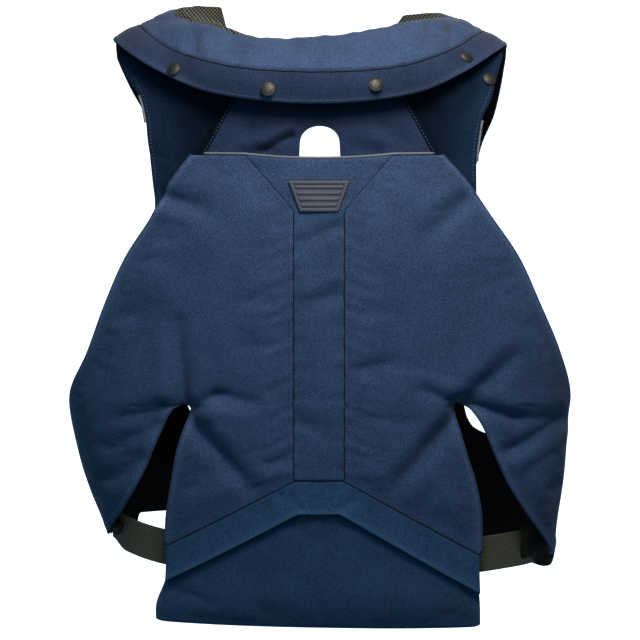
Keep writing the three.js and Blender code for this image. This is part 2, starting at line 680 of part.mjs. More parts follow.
function collar() {
  const roll = grid(6, 36, (u, v) => {
    const ends = Math.min(1, Math.min(u, 1 - u) / ROLL_END);
    const fullness = Math.sin(Math.PI * v) ** ROLL_SQUARENESS * ends;
    const thickness = THREE.MathUtils.lerp(COLLAR_EDGE, COLLAR_FULL, fullness);
    const lift = (COLLAR_EDGE - thickness) / 2;
    return { at: betweenRails(RIM, BAND_SEAM, u, v, ROLL_BULGE), lift, thickness };
  });
  addPiece('collar_roll', wall(roll), NAVY);

  const band = grid(2, 36, (u, v) => {
    const clear = SEAM_GAP / 2 / BAND_SEAM.getPoint(u).distanceTo(COLLAR_EDGE_RAIL.getPoint(u));
    const across = THREE.MathUtils.lerp(clear * 3, 1, v);
    return { at: betweenRails(BAND_SEAM, COLLAR_EDGE_RAIL, u, across, BAND_BULGE), thickness: BAND };
  });
  addPiece('collar_band', wall(band), NAVY);
}

// The neck's edge of the yoke, shoulder panels and front panels, under the collar
function neckLine() {
  const back = NECK_BACK_SHARES.map((share) => torso(share * NECK_MIDDLE.half, NECK_MIDDLE.height, 'back'));
  const round = (side) => {
    const shoulder = torso(side.sign * NECK_HALF, shoulderLine(NECK_HALF), 'back');
    const behind = torso(side.sign * neckEdge(NECK_SIDE.behind), NECK_SIDE.behind, 'back');
    const front = torso(side.sign * frontInner(NECK_SIDE.front), NECK_SIDE.front, 'front');
    return [behind, shoulder, front];
  };
  const points = [...round(LEFT).reverse(), ...back, ...round(RIGHT)];
  return new THREE.CatmullRomCurve3(points, false, 'centripetal');
}

function collarLining() {
  const neck = neckLine();
  const rows = grid(3, 32, (u, v) => {
    const base = neck.getPoint(u);
    const rise = LINING_RISE * (2 * u - 1) ** 2;
    base.z += CLOTH + LAYER_GAP + rise;
    const rim = RIM.getPoint(u);
    rim.lerp(base, LINING_DROP);
    rim.multiply(LINING_INSET);
    rim.z += rise;
    return { at: rim.lerp(base, v), thickness: MESH };
  });
  addPiece('collar_lining', wall(rows), BLACK_MESH);
}

// Trim

function snapProfile() {
  const { radius, domeRadius, height, flange } = SNAP;
  const dome = new THREE.EllipseCurve(0, flange, domeRadius, height - flange, 0, Math.PI / 2);
  const points = [new THREE.Vector2(0, 0), new THREE.Vector2(radius, 0), new THREE.Vector2(radius, flange)];
  return [...points, ...dome.getPoints(3).slice(0, -1), new THREE.Vector2(0, height)];
}

function addSnap(name, at, outward) {
  const snap = addPiece(name, new THREE.LatheGeometry(snapProfile(), SNAP.sides), GUNMETAL);
  snap.position.copy(at);
  snap.quaternion.setFromUnitVectors(new THREE.Vector3(0, 1, 0), outward.normalize());
}

// How far along the collar's back a line of points reaches a place across, by halving
function alongAt(pointAt, x) {
  let { low, high, halvings } = COLLAR_BACK;
  for (let step = 0; step < halvings; step++) {
    const middle = (low + high) / 2;
    if (pointAt(middle).x < x) {
      low = middle;
    } else {
      high = middle;
    }
  }
  return low;
}

function snaps() {
  const standOff = BAND / 2 + LAYER_GAP;
  for (const { name, x, across } of BAND_SNAPS) {
    const here = (u, v) => betweenRails(BAND_SEAM, COLLAR_EDGE_RAIL, u, v, BAND_BULGE);
    const along = alongAt((u) => here(u, across), x);
    const at = here(along, across);
    const sideways = here(along + NEARBY.share, across).sub(here(along - NEARBY.share, across));
    const downward = here(along, across + NEARBY.share).sub(here(along, across - NEARBY.share));
    const outward = downward.cross(sideways).normalize();
    addSnap(name, at.addScaledVector(outward, standOff), outward);
  }
  const { x, z } = SHOULDER_SNAP;
  const at = torso(x, z, 'back');
  const sideways = torso(x + NEARBY.distance, z, 'back').sub(torso(x - NEARBY.distance, z, 'back'));
  const upward = torso(x, z + NEARBY.distance, 'back').sub(torso(x, z - NEARBY.distance, 'back'));
  const outward = sideways.cross(upward).normalize();
  addSnap('shoulder_snap', at.addScaledVector(outward, underlap(z) + standOff), outward);
}

function addPiping(name, points) {
  const path = new THREE.CatmullRomCurve3(points);
  const section = new THREE.Shape();
  section.absarc(0, 0, PIPING_RADIUS, 0, 2 * Math.PI);
  const options = { extrudePath: path, steps: points.length, bevelEnabled: false };
  options.curveSegments = PIPING_SIDES / 2;
  addPiece(name, new THREE.ExtrudeGeometry(section, options), GREY);
}

function pipings() {
  const above = PIPING_RADIUS + LAYER_GAP;
  const top = [];
  const left = -yokeSeam(BACK_TOP);
  for (let step = 0; step <= PIPING_STEPS.back; step++) {
    const x = THREE.MathUtils.lerp(left, -left, step / PIPING_STEPS.back);
    const dip = BACK_TOP_DIP * Math.max(0, 1 - (x / SHIELD_HALF) ** 2);
    top.push(torso(x, BACK_TOP - dip, 'back').add(new THREE.Vector3(0, 0, above)));
  }
  addPiping('back_piping', top);

  for (const side of SIDES) {
    const ends = SHOULDER_PIPING[side.name];
    const points = [];
    for (let step = 0; step <= PIPING_STEPS.shoulder; step++) {
      const z = THREE.MathUtils.lerp(ends.top, ends.bottom, step / PIPING_STEPS.shoulder);
      const slope = SHOULDER_EDGE.at(z + 1, side.name) - SHOULDER_EDGE.at(z - 1, side.name);
      const x = SHOULDER_EDGE.at(z, side.name) + above * Math.hypot(1, slope / 2) + LAYER_GAP / 2;
      const at = torso(side.sign * x, z, 'back');
      at.y -= underlap(z);
      points.push(at);
    }
    addPiping(`shoulder_piping_${side.name}`, points);
  }
}

// A plain moulded patch with level ribs, bent to the shield that it is sewn to
function badge() {
  const geometry = wall(
    grid(BADGE.ribRows, 8, (u, v) => {
      const z = THREE.MathUtils.lerp(BADGE.top, BADGE.bottom, v);
      const half = THREE.MathUtils.lerp(BADGE.topHalf, BADGE.bottomHalf, v);
      const at = torso((2 * u - 1) * half, z, 'back');
      const border = u === 0 || u === 1 || v === 0 || v === 1;
      const ribbed = Math.round(v * BADGE.ribRows) % 2 === 0;
      const height = BADGE.thickness + (border || ribbed ? BADGE.rib : 0);
      const seat = padding(spineHalf(z) - Math.abs(at.x)) / 2 - foldDepth(at.x, z);
      return { at, lift: seat + LAYER_GAP + height / 2, thickness: height };
    }),
  );
  addPiece('badge', geometry, RUBBER);
}

// Elastic webbing that crosses the slit's foot, from inside the tail panel to inside the front panel
function sideStrap(side) {
  const points = STRAP_PATH[side.name].map(({ x, y, z }) => new THREE.Vector3(side.sign * x, y, z));
  const path = new THREE.CatmullRomCurve3(points);
  const geometry = wall(
    grid(2, 10, (u, v) => {
      const at = path.getPoint(side === LEFT ? 1 - u : u);
      at.z += (0.5 - v) * STRAP.width;
      return { at, thickness: STRAP.thickness };
    }),
  );
  addPiece(`side_strap_${side.name}`, geometry, WEBBING);
}

SIDES.forEach(backPanel);
spinePanel();
waistBand();
tailPanel();
yokePanel();
SIDES.forEach(shoulderPanel);
SIDES.forEach(frontPanel);
frontZip();
collar();
collarLining();
snaps();
pipings();
badge();
SIDES.forEach(sideStrap);

export default vest;
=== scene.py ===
"""Looks of the airbag vest: padded cloth, seams, trim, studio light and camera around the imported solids.

Sizes are in millimetres in the frame of the solids: +Z up, the wearer's back towards -Y, left is -X.
The meshes are written in metres.
"""

import logging
import math
from collections.abc import Callable, Iterable, Sequence
from dataclasses import dataclass, replace
from enum import Enum

import bmesh
import bpy
import numpy as np
from mathutils import Matrix, Vector
from mathutils.bvhtree import BVHTree


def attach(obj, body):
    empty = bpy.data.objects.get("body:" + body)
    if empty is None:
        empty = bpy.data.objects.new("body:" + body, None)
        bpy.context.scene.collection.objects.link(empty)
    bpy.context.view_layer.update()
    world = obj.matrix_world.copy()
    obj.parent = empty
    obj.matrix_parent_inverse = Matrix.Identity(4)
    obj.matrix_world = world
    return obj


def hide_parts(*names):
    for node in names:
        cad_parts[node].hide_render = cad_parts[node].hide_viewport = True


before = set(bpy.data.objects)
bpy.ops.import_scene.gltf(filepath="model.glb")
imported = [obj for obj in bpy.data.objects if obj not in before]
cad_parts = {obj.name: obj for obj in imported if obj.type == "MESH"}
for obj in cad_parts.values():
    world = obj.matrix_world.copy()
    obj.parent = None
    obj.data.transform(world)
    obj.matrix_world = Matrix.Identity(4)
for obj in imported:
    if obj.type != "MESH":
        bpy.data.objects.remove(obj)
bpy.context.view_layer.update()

MM = 0.001
TINY = 1e-9
BODY = "root"
LOG = logging.getLogger("airbag_vest")
Array = np.ndarray
Numbers = float | Array
Pair = tuple[float, float]
Triple = tuple[float, float, float]
Rows = tuple[tuple[float, ...], ...]
Piece = bpy.types.Object
Tree = bpy.types.NodeTree
Socket = bpy.types.NodeSocket


class Way(Enum):
    """A way from the middle of the torso, as a sign."""

    @property
    def word(self) -> str:
        """The way in lower case, as it stands in names and tables."""
        return self.name.lower()


class Face(Way):
    """The back or front of the torso, as the sign of Y."""

    BACK = -1
    FRONT = 1


class Side(Way):
    """The wearer's left or right, as the sign of X."""

    LEFT = -1
    RIGHT = 1

    def outward(self, u: Array, face: Face = Face.BACK) -> Array:
        """Share from the middle outwards, for a share that runs rightwards as a face is looked at."""
        return 1 - u if (self is Side.LEFT) == (face is Face.BACK) else u


# Curves and tables


def lerp(start: Numbers, end: Numbers, share: Numbers) -> Numbers:
    """The value at a share of the way from start to end."""
    return start + (end - start) * share


def smoothstep(value: Numbers, low: float, high: float) -> Numbers:
    """A smooth rise from 0 at low to 1 at high."""
    share = np.clip((np.asarray(value, float) - low) / (high - low), 0, 1)
    return share * share * (3 - 2 * share)


def smooth_curve(knots: Array, values: Array, at: Numbers) -> Array:
    """A smooth curve through values at rising knots.

    Args:
        knots: Places of the values, in rising order.
        values: The values there.
        at: Places to read the curve at; it is level beyond the ends.

    Returns:
        The curve's value at each place.
    """
    slopes = np.gradient(values, knots)
    at = np.clip(np.asarray(at, float), knots[0], knots[-1])
    index = np.clip(np.searchsorted(knots, at, side="right") - 1, 0, len(knots) - 2)
    gap = knots[index + 1] - knots[index]
    share = (at - knots[index]) / gap
    square, cube = share**2, share**3
    ends = (2 * cube - 3 * square + 1) * values[index] + (3 * square - 2 * cube) * values[index + 1]
    bends = (cube - 2 * square + share) * slopes[index] + (cube - square) * slopes[index + 1]
    return ends + gap * bends


def unit(vectors: Array) -> Array:
    """Vectors brought to a length of one."""
    return vectors / np.maximum(np.linalg.norm(vectors, axis=-1, keepdims=True), TINY)


def travelled(points: Array, power: float = 1.0) -> Array:
    """Distance along a path at each of its points, with every step raised to a power."""
    return np.concatenate([[0], np.cumsum(np.linalg.norm(np.diff(points, axis=0), axis=1) ** power)])


def smooth_path(points: Array, along: Numbers, power: float = 1.0) -> Array:
    """A smooth path through points.

    Args:
        points: The points, one row for each.
        along: Places from 0 to 1, with the same share from each point to the next.
        power: Evens out steps of different length where it is below 1.

    Returns:
        The path's point at each place.
    """
    knots = travelled(points, power)
    at = np.interp(np.asarray(along, float) * (len(points) - 1), np.arange(len(points)), knots)
    return np.stack([smooth_curve(knots, points[:, axis], at) for axis in range(3)], axis=-1)


@dataclass(frozen=True)
class Table:
    """Rows of named columns, read as smooth curves over the first column."""

    columns: tuple[str, ...]
    rows: Rows

    def at(self, key: Numbers, column: str) -> Array:
        """The named column's value at a place in the first column."""
        data = np.array(sorted(self.rows), float)
        return smooth_curve(data[:, 0], data[:, self.columns.index(column)], key)


# The torso that the vest goes round

ROUNDNESS = 2.2
ROUND_START = -130.0
NECK_HEIGHT = 30.0
SHOULDER_SLOPE = 0.23
UNDERLAP = 7.0
SEAM_GAP = 0.8
SEAM_LAP = 0.6
EDGE_SHRINK = 0.9
SEWN = 40.0
LAYER_GAP = 0.5
CLOTH = 3.0
SECTIONS = Table(
    ("z", "left", "right", "back", "front"),
    (
        (-620, 232, 246, 97, 92), (-562, 222, 251, 99, 96), (-528, 228, 253, 101, 98),
        (-478, 247, 260, 105, 102), (-412, 263, 265, 109, 104), (-300, 272, 274, 115, 106),
        (-185, 252, 254, 118, 102), (-124, 240, 240, 114, 94), (40, 236, 236, 108, 88),
    ),
)


def shoulder_line(x: Numbers) -> Numbers:
    """Height of the shoulder's ridge at a place across."""
    return NECK_HEIGHT - SHOULDER_SLOPE * np.abs(x)


def torso(x: Numbers, z: Numbers, face: Face) -> Array:
    """Points of the torso's back or front.

    Args:
        x: Places across.
        z: Heights.
        face: Back or front.

    Returns:
        One row of x, y and z for each place.
    """
    x, z = np.broadcast_arrays(np.asarray(x, float), np.asarray(z, float))
    half = np.where(x < 0, SECTIONS.at(z, "left"), SECTIONS.at(z, "right"))
    across = np.minimum(np.abs(x) / half, 1)
    plan = (1 - across**ROUNDNESS) ** (1 / ROUNDNESS)
    climb = np.clip((z - ROUND_START) / (shoulder_line(x) - ROUND_START), 0, 1)
    depth = SECTIONS.at(z, face.word) * plan * np.sqrt(1 - climb**2)
    return np.stack([x, face.value * depth, z], axis=-1)


def climbed_height(x: Numbers, angle: Numbers) -> Numbers:
    """Height at a place across of a row that climbs over the shoulder by an angle."""
    return lerp(ROUND_START, shoulder_line(x), np.sin(angle))


# Folds pressed into the cloth, each a dent along a line that fades to its far end, with a ridge on one side


@dataclass(frozen=True)
class Fold:
    """A crease from a start to an end, seen from behind."""

    x0: float
    z0: float
    x1: float
    z1: float
    width: float
    depth: float
    ridge: float = 0.0


FADE = 0.75
RIDGE_AWAY = 1.7
BACK_FOLDS = (
    Fold(-141, -386, -147, -298, 9, 8.5, -0.35), Fold(-128, -386, -106, -374, 8, 6, 0.35),
    Fold(-106, -374, -70, -381, 9, 5, 0.35), Fold(-138, -396, -75, -470, 11, 8.2, -0.35),
    Fold(-158, -386, -206, -402, 8, 5.5, 0.35), Fold(-172, -408, -216, -434, 10, 3.8, 0.35),
    Fold(-188, -446, -232, -476, 12, 3.5, -0.3), Fold(147, -394, 82, -468, 12, 7.6, 0.35),
    Fold(146, -384, 106, -368, 8, 5.6, 0.3), Fold(150, -384, 202, -336, 11, 8.5, -0.3),
    Fold(162, -385, 208, -402, 8, 7.5, -0.4), Fold(208, -402, 252, -404, 10, 4.5, -0.3),
    Fold(200, -436, 252, -410, 9, 5.5, 0.4), Fold(40, -347, 78, -337, 8, 3, 0.3),
    Fold(-160, -168, -122, -178, 9, 7, 0.35), Fold(152, -172, 116, -206, 11, 5.5, 0.3),
    Fold(-122, -250, -134, -318, 28, 4), Fold(178, -262, 152, -318, 28, 4),
    Fold(-96, -440, -150, -500, 22, 3), Fold(110, -500, 152, -520, 18, 2.5),
    Fold(-186, -300, -210, -350, 26, 3), Fold(90, -300, 60, -392, 30, 3), Fold(-70, -330, -52, -400, 30, 2.5),
    Fold(-52, -446, -28, -440, 7, 2.5, 0.3),
)
SPINE_FOLDS = (
    Fold(26, -196, -22, -214, 8, 3.6, 0.4), Fold(26, -264, -22, -281, 9, 3.4, 0.4),
    Fold(-25, -401, 12, -414, 9, 2.4, -0.3),
)
BAND_FOLDS = (
    Fold(-42, -479, -30, -496, 4, 1.8, 0.4), Fold(-30, -481, -20, -494, 4, 1.8, 0.4),
    Fold(34, -486, 16, -498, 5, 2.0, -0.4),
)


def fold_depth(x: Numbers, z: Numbers, folds: Sequence[Fold] = BACK_FOLDS) -> Array:
    """How far folds press the cloth in at places seen from behind.

    Args:
        x: Places across.
        z: Heights.
        folds: The folds that count.

    Returns:
        Depth at each place; a ridge counts as a negative depth.
    """
    x, z = np.broadcast_arrays(np.asarray(x, float), np.asarray(z, float))
    depth = np.zeros(x.shape)
    for fold in folds:
        run = np.array([fold.x1 - fold.x0, fold.z1 - fold.z0])
        length = np.hypot(*run)
        along = np.clip(((x - fold.x0) * run[0] + (z - fold.z0) * run[1]) / length**2, 0, 1)
        off_x, off_z = x - fold.x0 - along * run[0], z - fold.z0 - along * run[1]
        away = np.hypot(off_x, off_z) / fold.width
        beside = (off_x * run[1] - off_z * run[0]) / length / fold.width
        taper = fold.depth * np.sqrt(1 - FADE * along)
        depth += taper * np.exp(-(away**2))
        crest = np.exp(-((beside - RIDGE_AWAY * np.sign(fold.ridge)) ** 2) - (away**2 - beside**2))
        depth -= taper * abs(fold.ridge) * crest
    return depth


PUCKER_HEIGHT = 0.9
PUCKER_PITCH = 19.0
PUCKER_REACH = 10.0
PUCKER_BEAT = 3.7
PUCKER_SHIFT = 0.9


def pucker(distance: Array, along: Array) -> Array:
    """Small ripples that a sewn seam draws into the cloth beside it."""
    turn = along * 2 * math.pi / PUCKER_PITCH
    wave = np.sin(turn) * np.sin(turn / PUCKER_BEAT + PUCKER_SHIFT)
    return PUCKER_HEIGHT * wave * np.exp(-distance / PUCKER_REACH)


PANEL_EDGE = 3.0
PANEL_FULL = 7.0
PAD_RAMP = 32.0


def padding(distance: Numbers) -> Array:
    """A padded panel's thickness by the distance to its nearest seam."""
    return PANEL_EDGE + (PANEL_FULL - PANEL_EDGE) * smoothstep(distance, 0, PAD_RAMP)


# Materials


def linear(code: str) -> tuple[float, float, float, float]:
    """A colour in sRGB hex as linear red, green and blue with full alpha."""
    parts = [int(code[i : i + 2], 16) / 255 for i in (1, 3, 5)]
    red, green, blue = (p / 12.92 if p <= 0.04045 else ((p + 0.055) / 1.055) ** 2.4 for p in parts)
    return red, green, blue, 1.0


def add_node(
    tree: Tree,
    kind: str,
    settings: dict[str | int, object] | None = None,
    links: dict[str | int, Socket] | None = None,
) -> bpy.types.Node:
    """Adds a node with its settings and links.

    Args:
        tree: The material's node tree.
        kind: The node's type.
        settings: Properties by name, or input values by name or number.
        links: Sockets that feed the node's inputs, by name or number.

    Returns:
        The new node.
    """
    made = tree.nodes.new(kind)
    for key, value in (settings or {}).items():
        if isinstance(key, str) and key in made.bl_rna.properties:
            setattr(made, key, value)
        else:
            made.inputs[key].default_value = value
    for key, source in (links or {}).items():
        tree.links.new(source, made.inputs[key])
    return made


def calculate(
    tree: Tree, operation: str, *terms: Socket | float
) -> Socket:
    """A sum done by a node.

    Args:
        tree: The node tree.
        operation: What is done with the terms.
        *terms: Sockets or plain numbers.

    Returns:
        The result.
    """
    fed = {i: term for i, term in enumerate(terms) if isinstance(term, Socket)}
    plain = {i: term for i, term in enumerate(terms) if i not in fed}
    return add_node(tree, "ShaderNodeMath", {"operation": operation, **plain}, fed).outputs[0]


UV_NAME = "cloth"
RUBBED_AND_PAINTED_LIGHT_MARK = "hem"


@dataclass(frozen=True)
class Finish:
    """A surface of one real material, named for it: its colours, its shine and the depth of its relief."""

    name: str
    slot: str
    color: str
    shade: str
    roughness: float
    gloss: float = 0.5
    limits: Pair = (0.3, 0.7)
    depth: float = 0.3
    bump: float = 0.4

    def material(self) -> bpy.types.Material:
        """The finish's material, made once."""
        found = bpy.data.materials.get(self.name)
        if found:
            return found
        made = bpy.data.materials.new(self.name)
        made.use_nodes = True
        shader = made.node_tree.nodes["Principled BSDF"]
        shader.inputs["Roughness"].default_value = self.roughness
        shader.inputs["Specular IOR Level"].default_value = self.gloss
        self.dress(made.node_tree, shader)
        return made

    def dress(self, tree: Tree, shader: bpy.types.Node) -> None:
        """Adds the finish's own pattern to the shader."""
        raise NotImplementedError

    def speckle(self, tree: Tree, grain: float, detail: float = 2.0) -> Socket:
        """Even noise in object space.

        Args:
            tree: The material's node tree.
            grain: Size of a speck in millimetres.
            detail: Octaves of finer noise.

        Returns:
            The noise's value, about 0.5.
        """
        place = add_node(tree, "ShaderNodeTexCoord")
        noise = add_node(
            tree,
            "ShaderNodeTexNoise",
            {"Scale": 1 / (grain * MM), "Detail": detail, "Roughness": 0.6},
            {"Vector": place.outputs["Object"]},
        )
        return noise.outputs[0]

    def wave(
        self, tree: Tree, axis: str, pitch: float, place: Socket | None = None
    ) -> Socket:
        """A sine along one direction of the cloth's own map.

        Args:
            tree: The material's node tree.
            axis: X or Y of the map, or an axis of the place.
            pitch: Length of one wave in millimetres.
            place: Coordinates to use instead of the map.

        Returns:
            The wave's value, from -1 to 1.
        """
        flat = place or add_node(tree, "ShaderNodeUVMap", {"uv_map": UV_NAME}).outputs["UV"]
        parts = add_node(tree, "ShaderNodeSeparateXYZ", links={0: flat})
        angle = calculate(tree, "MULTIPLY", parts.outputs[axis], 2 * math.pi / (pitch * MM))
        return calculate(tree, "SINE", angle)

    def blend(self, tree: Tree, share: Socket) -> Socket:
        """The colour between shade and full colour.

        Args:
            tree: The material's node tree.
            share: The value that picks the colour, from the finish's first limit to its second.

        Returns:
            The colour.
        """
        limits = dict(zip(("From Min", "From Max"), self.limits))
        spread = add_node(tree, "ShaderNodeMapRange", limits, {"Value": share})
        pair = {"data_type": "RGBA", 6: linear(self.shade), 7: linear(self.color)}
        return add_node(tree, "ShaderNodeMix", pair, {0: spread.outputs[0]}).outputs[2]

    def relief(self, tree: Tree, shader: bpy.types.Node, height: Socket) -> None:
        """Bumps the surface.

        Args:
            tree: The material's node tree.
            shader: The shader whose normal is bent.
            height: The relief's value; one stands for the finish's depth in millimetres.
        """
        settings = {"Strength": self.bump, "Distance": self.depth * MM}
        bump = add_node(tree, "ShaderNodeBump", settings, {"Height": height})
        tree.links.new(bump.outputs["Normal"], shader.inputs["Normal"])


@dataclass(frozen=True)
class PlainWeave(Finish):
    """Plain-woven nylon: crossing threads give a fine grain and a dull sheen. Near marked edges the colour
    changes: paler rubbed edges on most panels, painted shade on the yoke and painted light on the shoulders.
    """

    rubbed_and_painted_light: str = "#37475f"
    thread: float = 2.6
    speck: float = 1.5
    mottle: float = 38.0
    weave_share: float = 0.12
    mottle_share: float = 0.3
    sheen: float = 0.03
    gloss: float = 0.08
    limits: Pair = (0.44, 0.86)
    depth: float = 0.5
    bump: float = 0.45

    def dress(self, tree: Tree, shader: bpy.types.Node) -> None:
        """Crosses two waves for the weave, drawn at twice the real thread so that it shows."""
        weave = calculate(tree, "MULTIPLY", *(self.wave(tree, axis, self.thread) for axis in "XY"))
        grain = self.speckle(tree, self.speck)
        cloud = self.speckle(tree, self.mottle, 3.0)
        scaled = calculate(tree, "MULTIPLY_ADD", weave, self.weave_share, grain)
        color = self.blend(tree, calculate(tree, "MULTIPLY_ADD", cloud, self.mottle_share, scaled))
        # The edge colour: paler rubbed edges on most panels, a painted black shadow under the collar on the
        # yoke and painted light on the shoulders' outer edges.
        hem = add_node(tree, "ShaderNodeAttribute", {"attribute_name": RUBBED_AND_PAINTED_LIGHT_MARK})
        rubbed_and_painted_light_share = calculate(tree, "MULTIPLY", hem.outputs["Fac"], grain)
        rubbed_and_painted_light_color = add_node(
            tree, "ShaderNodeMix", {"data_type": "RGBA", 7: linear(self.rubbed_and_painted_light)}, {0: rubbed_and_painted_light_share, 6: color}
        )
        tree.links.new(rubbed_and_painted_light_color.outputs[2], shader.inputs["Base Color"])
        shader.inputs["Sheen Weight"].default_value = self.sheen
        shader.inputs["Sheen Roughness"].default_value = 0.5
        self.relief(tree, shader, scaled)


@dataclass(frozen=True)
class Knit(Finish):
    """Knitted polyester lining: near black and dull, with faint ribs."""

    rib: float = 2.6
    speck: float = 2.0
    gloss: float = 0.1

    def dress(self, tree: Tree, shader: bpy.types.Node) -> None:
        """Ribs along the cloth, drawn coarser than the real ones so that they show."""
        grain = self.speckle(tree, self.speck)
        tree.links.new(self.blend(tree, grain), shader.inputs["Base Color"])
        self.relief(tree, shader, self.wave(tree, "X", self.rib))


@dataclass(frozen=True)
class SpacerMesh(Finish):
    """Spacer mesh: olive-grey net strands over a black ground, with holes set as diamonds."""

    pitch: float = 3.8
    level: float = 0.965
    gloss: float = 0.1
    limits: Pair = (0.6, 0.2)

    def dress(self, tree: Tree, shader: bpy.types.Node) -> None:
        """Strands along both diagonals, where two waves meet, a little coarser than the real net.

        Faces that lie level take the wave from front to back, and all others the one upwards.

        Args:
            tree: The material's node tree.
            shader: The shader that gets the colour.
        """
        place = add_node(tree, "ShaderNodeTexCoord").outputs["Object"]
        across, deep, up = (self.wave(tree, axis, self.pitch, place) for axis in "XYZ")
        facing = add_node(tree, "ShaderNodeNewGeometry").outputs["Normal"]
        lean = add_node(tree, "ShaderNodeSeparateXYZ", links={0: facing}).outputs["Z"]
        lying = calculate(tree, "GREATER_THAN", calculate(tree, "ABSOLUTE", lean), self.level)
        along = add_node(tree, "ShaderNodeMix", {"data_type": "FLOAT"}, {0: lying, 2: up, 3: deep}).outputs[0]
        hole = calculate(tree, "ABSOLUTE", calculate(tree, "SUBTRACT", across, along))
        tree.links.new(self.blend(tree, hole), shader.inputs["Base Color"])


@dataclass(frozen=True)
class ElasticWebbing(Finish):
    """Woven elastic: ribs across its length and flecks of pale rubber between the threads."""

    rib: float = 2.4
    rib_share: float = 0.08
    speck: float = 1.8
    gloss: float = 0.3
    limits: Pair = (0.3, 0.75)
    depth: float = 0.5
    bump: float = 0.6

    def dress(self, tree: Tree, shader: bpy.types.Node) -> None:
        """Ribs across the strap with a fleck, drawn coarser than the real ones."""
        rib = self.wave(tree, "Y", self.rib)
        mixed = calculate(tree, "MULTIPLY_ADD", rib, self.rib_share, self.speckle(tree, self.speck, 3.0))
        tree.links.new(self.blend(tree, mixed), shader.inputs["Base Color"])
        self.relief(tree, shader, mixed)


@dataclass(frozen=True)
class Grained(Finish):
    """A moulded, coated or plated surface with a fine even grain."""

    grain: float = 1.5
    metallic: float = 0.0
    depth: float = 0.2

    def dress(self, tree: Tree, shader: bpy.types.Node) -> None:
        """Mottles the colour and roughens the surface with one noise."""
        noise = self.speckle(tree, self.grain, 3.0)
        tree.links.new(self.blend(tree, noise), shader.inputs["Base Color"])
        shader.inputs["Metallic"].default_value = self.metallic
        self.relief(tree, shader, noise)


NAVY = PlainWeave("navy_nylon", "navy_cloth", "#263850", "#142133", 0.9)


def navy(part: str, color: str, shade: str, rubbed_and_painted_light: str, **changes: float) -> PlainWeave:
    """The navy nylon with the light or shade of one part of the vest painted into its colour."""
    return replace(NAVY, name=f"navy_nylon_{part}", color=color, shade=shade, rubbed_and_painted_light=rubbed_and_painted_light, **changes)


# The collar's band and the yoke get painted shade, with a painted black shadow just under the collar, and the
# shoulders get the deepest painted shade, with painted light towards their outer edges.
SHADED_BAND_NAVY = navy("band", "#1c2b40", "#0e1827", "#28384f")
SHADED_YOKE_NAVY = navy("yoke", "#182940", "#0b1526", "#010204")
SHADED_SHOULDER_NAVY = navy("shoulder", "#08121e", "#040911", "#162739", sheen=0.0, gloss=0.0)
# The waist and the tail get painted cooler light, and look a little greener than the back.
COOL_LIT_WAIST_NAVY = navy("waist", "#1f3850", "#102133", "#2e475f")
COOL_LIT_TAIL_NAVY = navy("tail", "#1b3148", "#0e1d2e", "#2a415a")
# The lining is black, the net shows pale strands over it, and the webbing is a flecked olive.
LINING = Knit("black_knit_lining", "black_lining", "#0c0c0e", "#050506", 0.95)
NET = SpacerMesh("spacer_mesh", "black_mesh", "#454b43", "#020303", 0.9)
WEBBING = ElasticWebbing("elastic_webbing", "webbing", "#34362c", "#181a14", 0.85)
# The piping is pale and dull, the studs dark metal with a soft shine, the rubber and the zip moulded.
PIPING = Grained("reflective_piping", "grey_piping", "#344148", "#242f35", 0.7, grain=2.0)
THREAD = Grained("polyester_thread", "navy_cloth", "#1f2f49", "#101c2f", 0.7, grain=1.0, depth=0.1)
STUD = Grained("plated_brass", "gunmetal", "#383b3a", "#282b2a", 0.6, grain=2.5, metallic=1.0, depth=0.05)
RUBBER = Grained("moulded_rubber", "rubber", "#1f2b38", "#121b25", 0.8, grain=1.2, depth=0.15)
TEETH = Grained("acetal_zip", "black_zip", "#1b1c20", "#101114", 0.4, grain=2.0, depth=0.05)


# Cloth panels


@dataclass
class Cloth:
    """A stretch of cloth as arrays with one entry for each point."""

    points: Array
    thickness: Numbers
    # edge: the distance that sets the edge colour, for rubbed edges and for painted shade and painted light.
    edge: Numbers
    lift: Numbers = 0.0


@dataclass(frozen=True)
class Settle:
    """How far a panel is blown out and wrinkled between its seams by a cloth simulation."""

    pressure: float
    slack: float
    cap: float
    pinned: float = 7.0
    frames: int = 20


Shape = Callable[[Array, Array], Cloth]
HEM_REACH = 5.0
MERGE = 0.005
PIN_EASE = 2.5


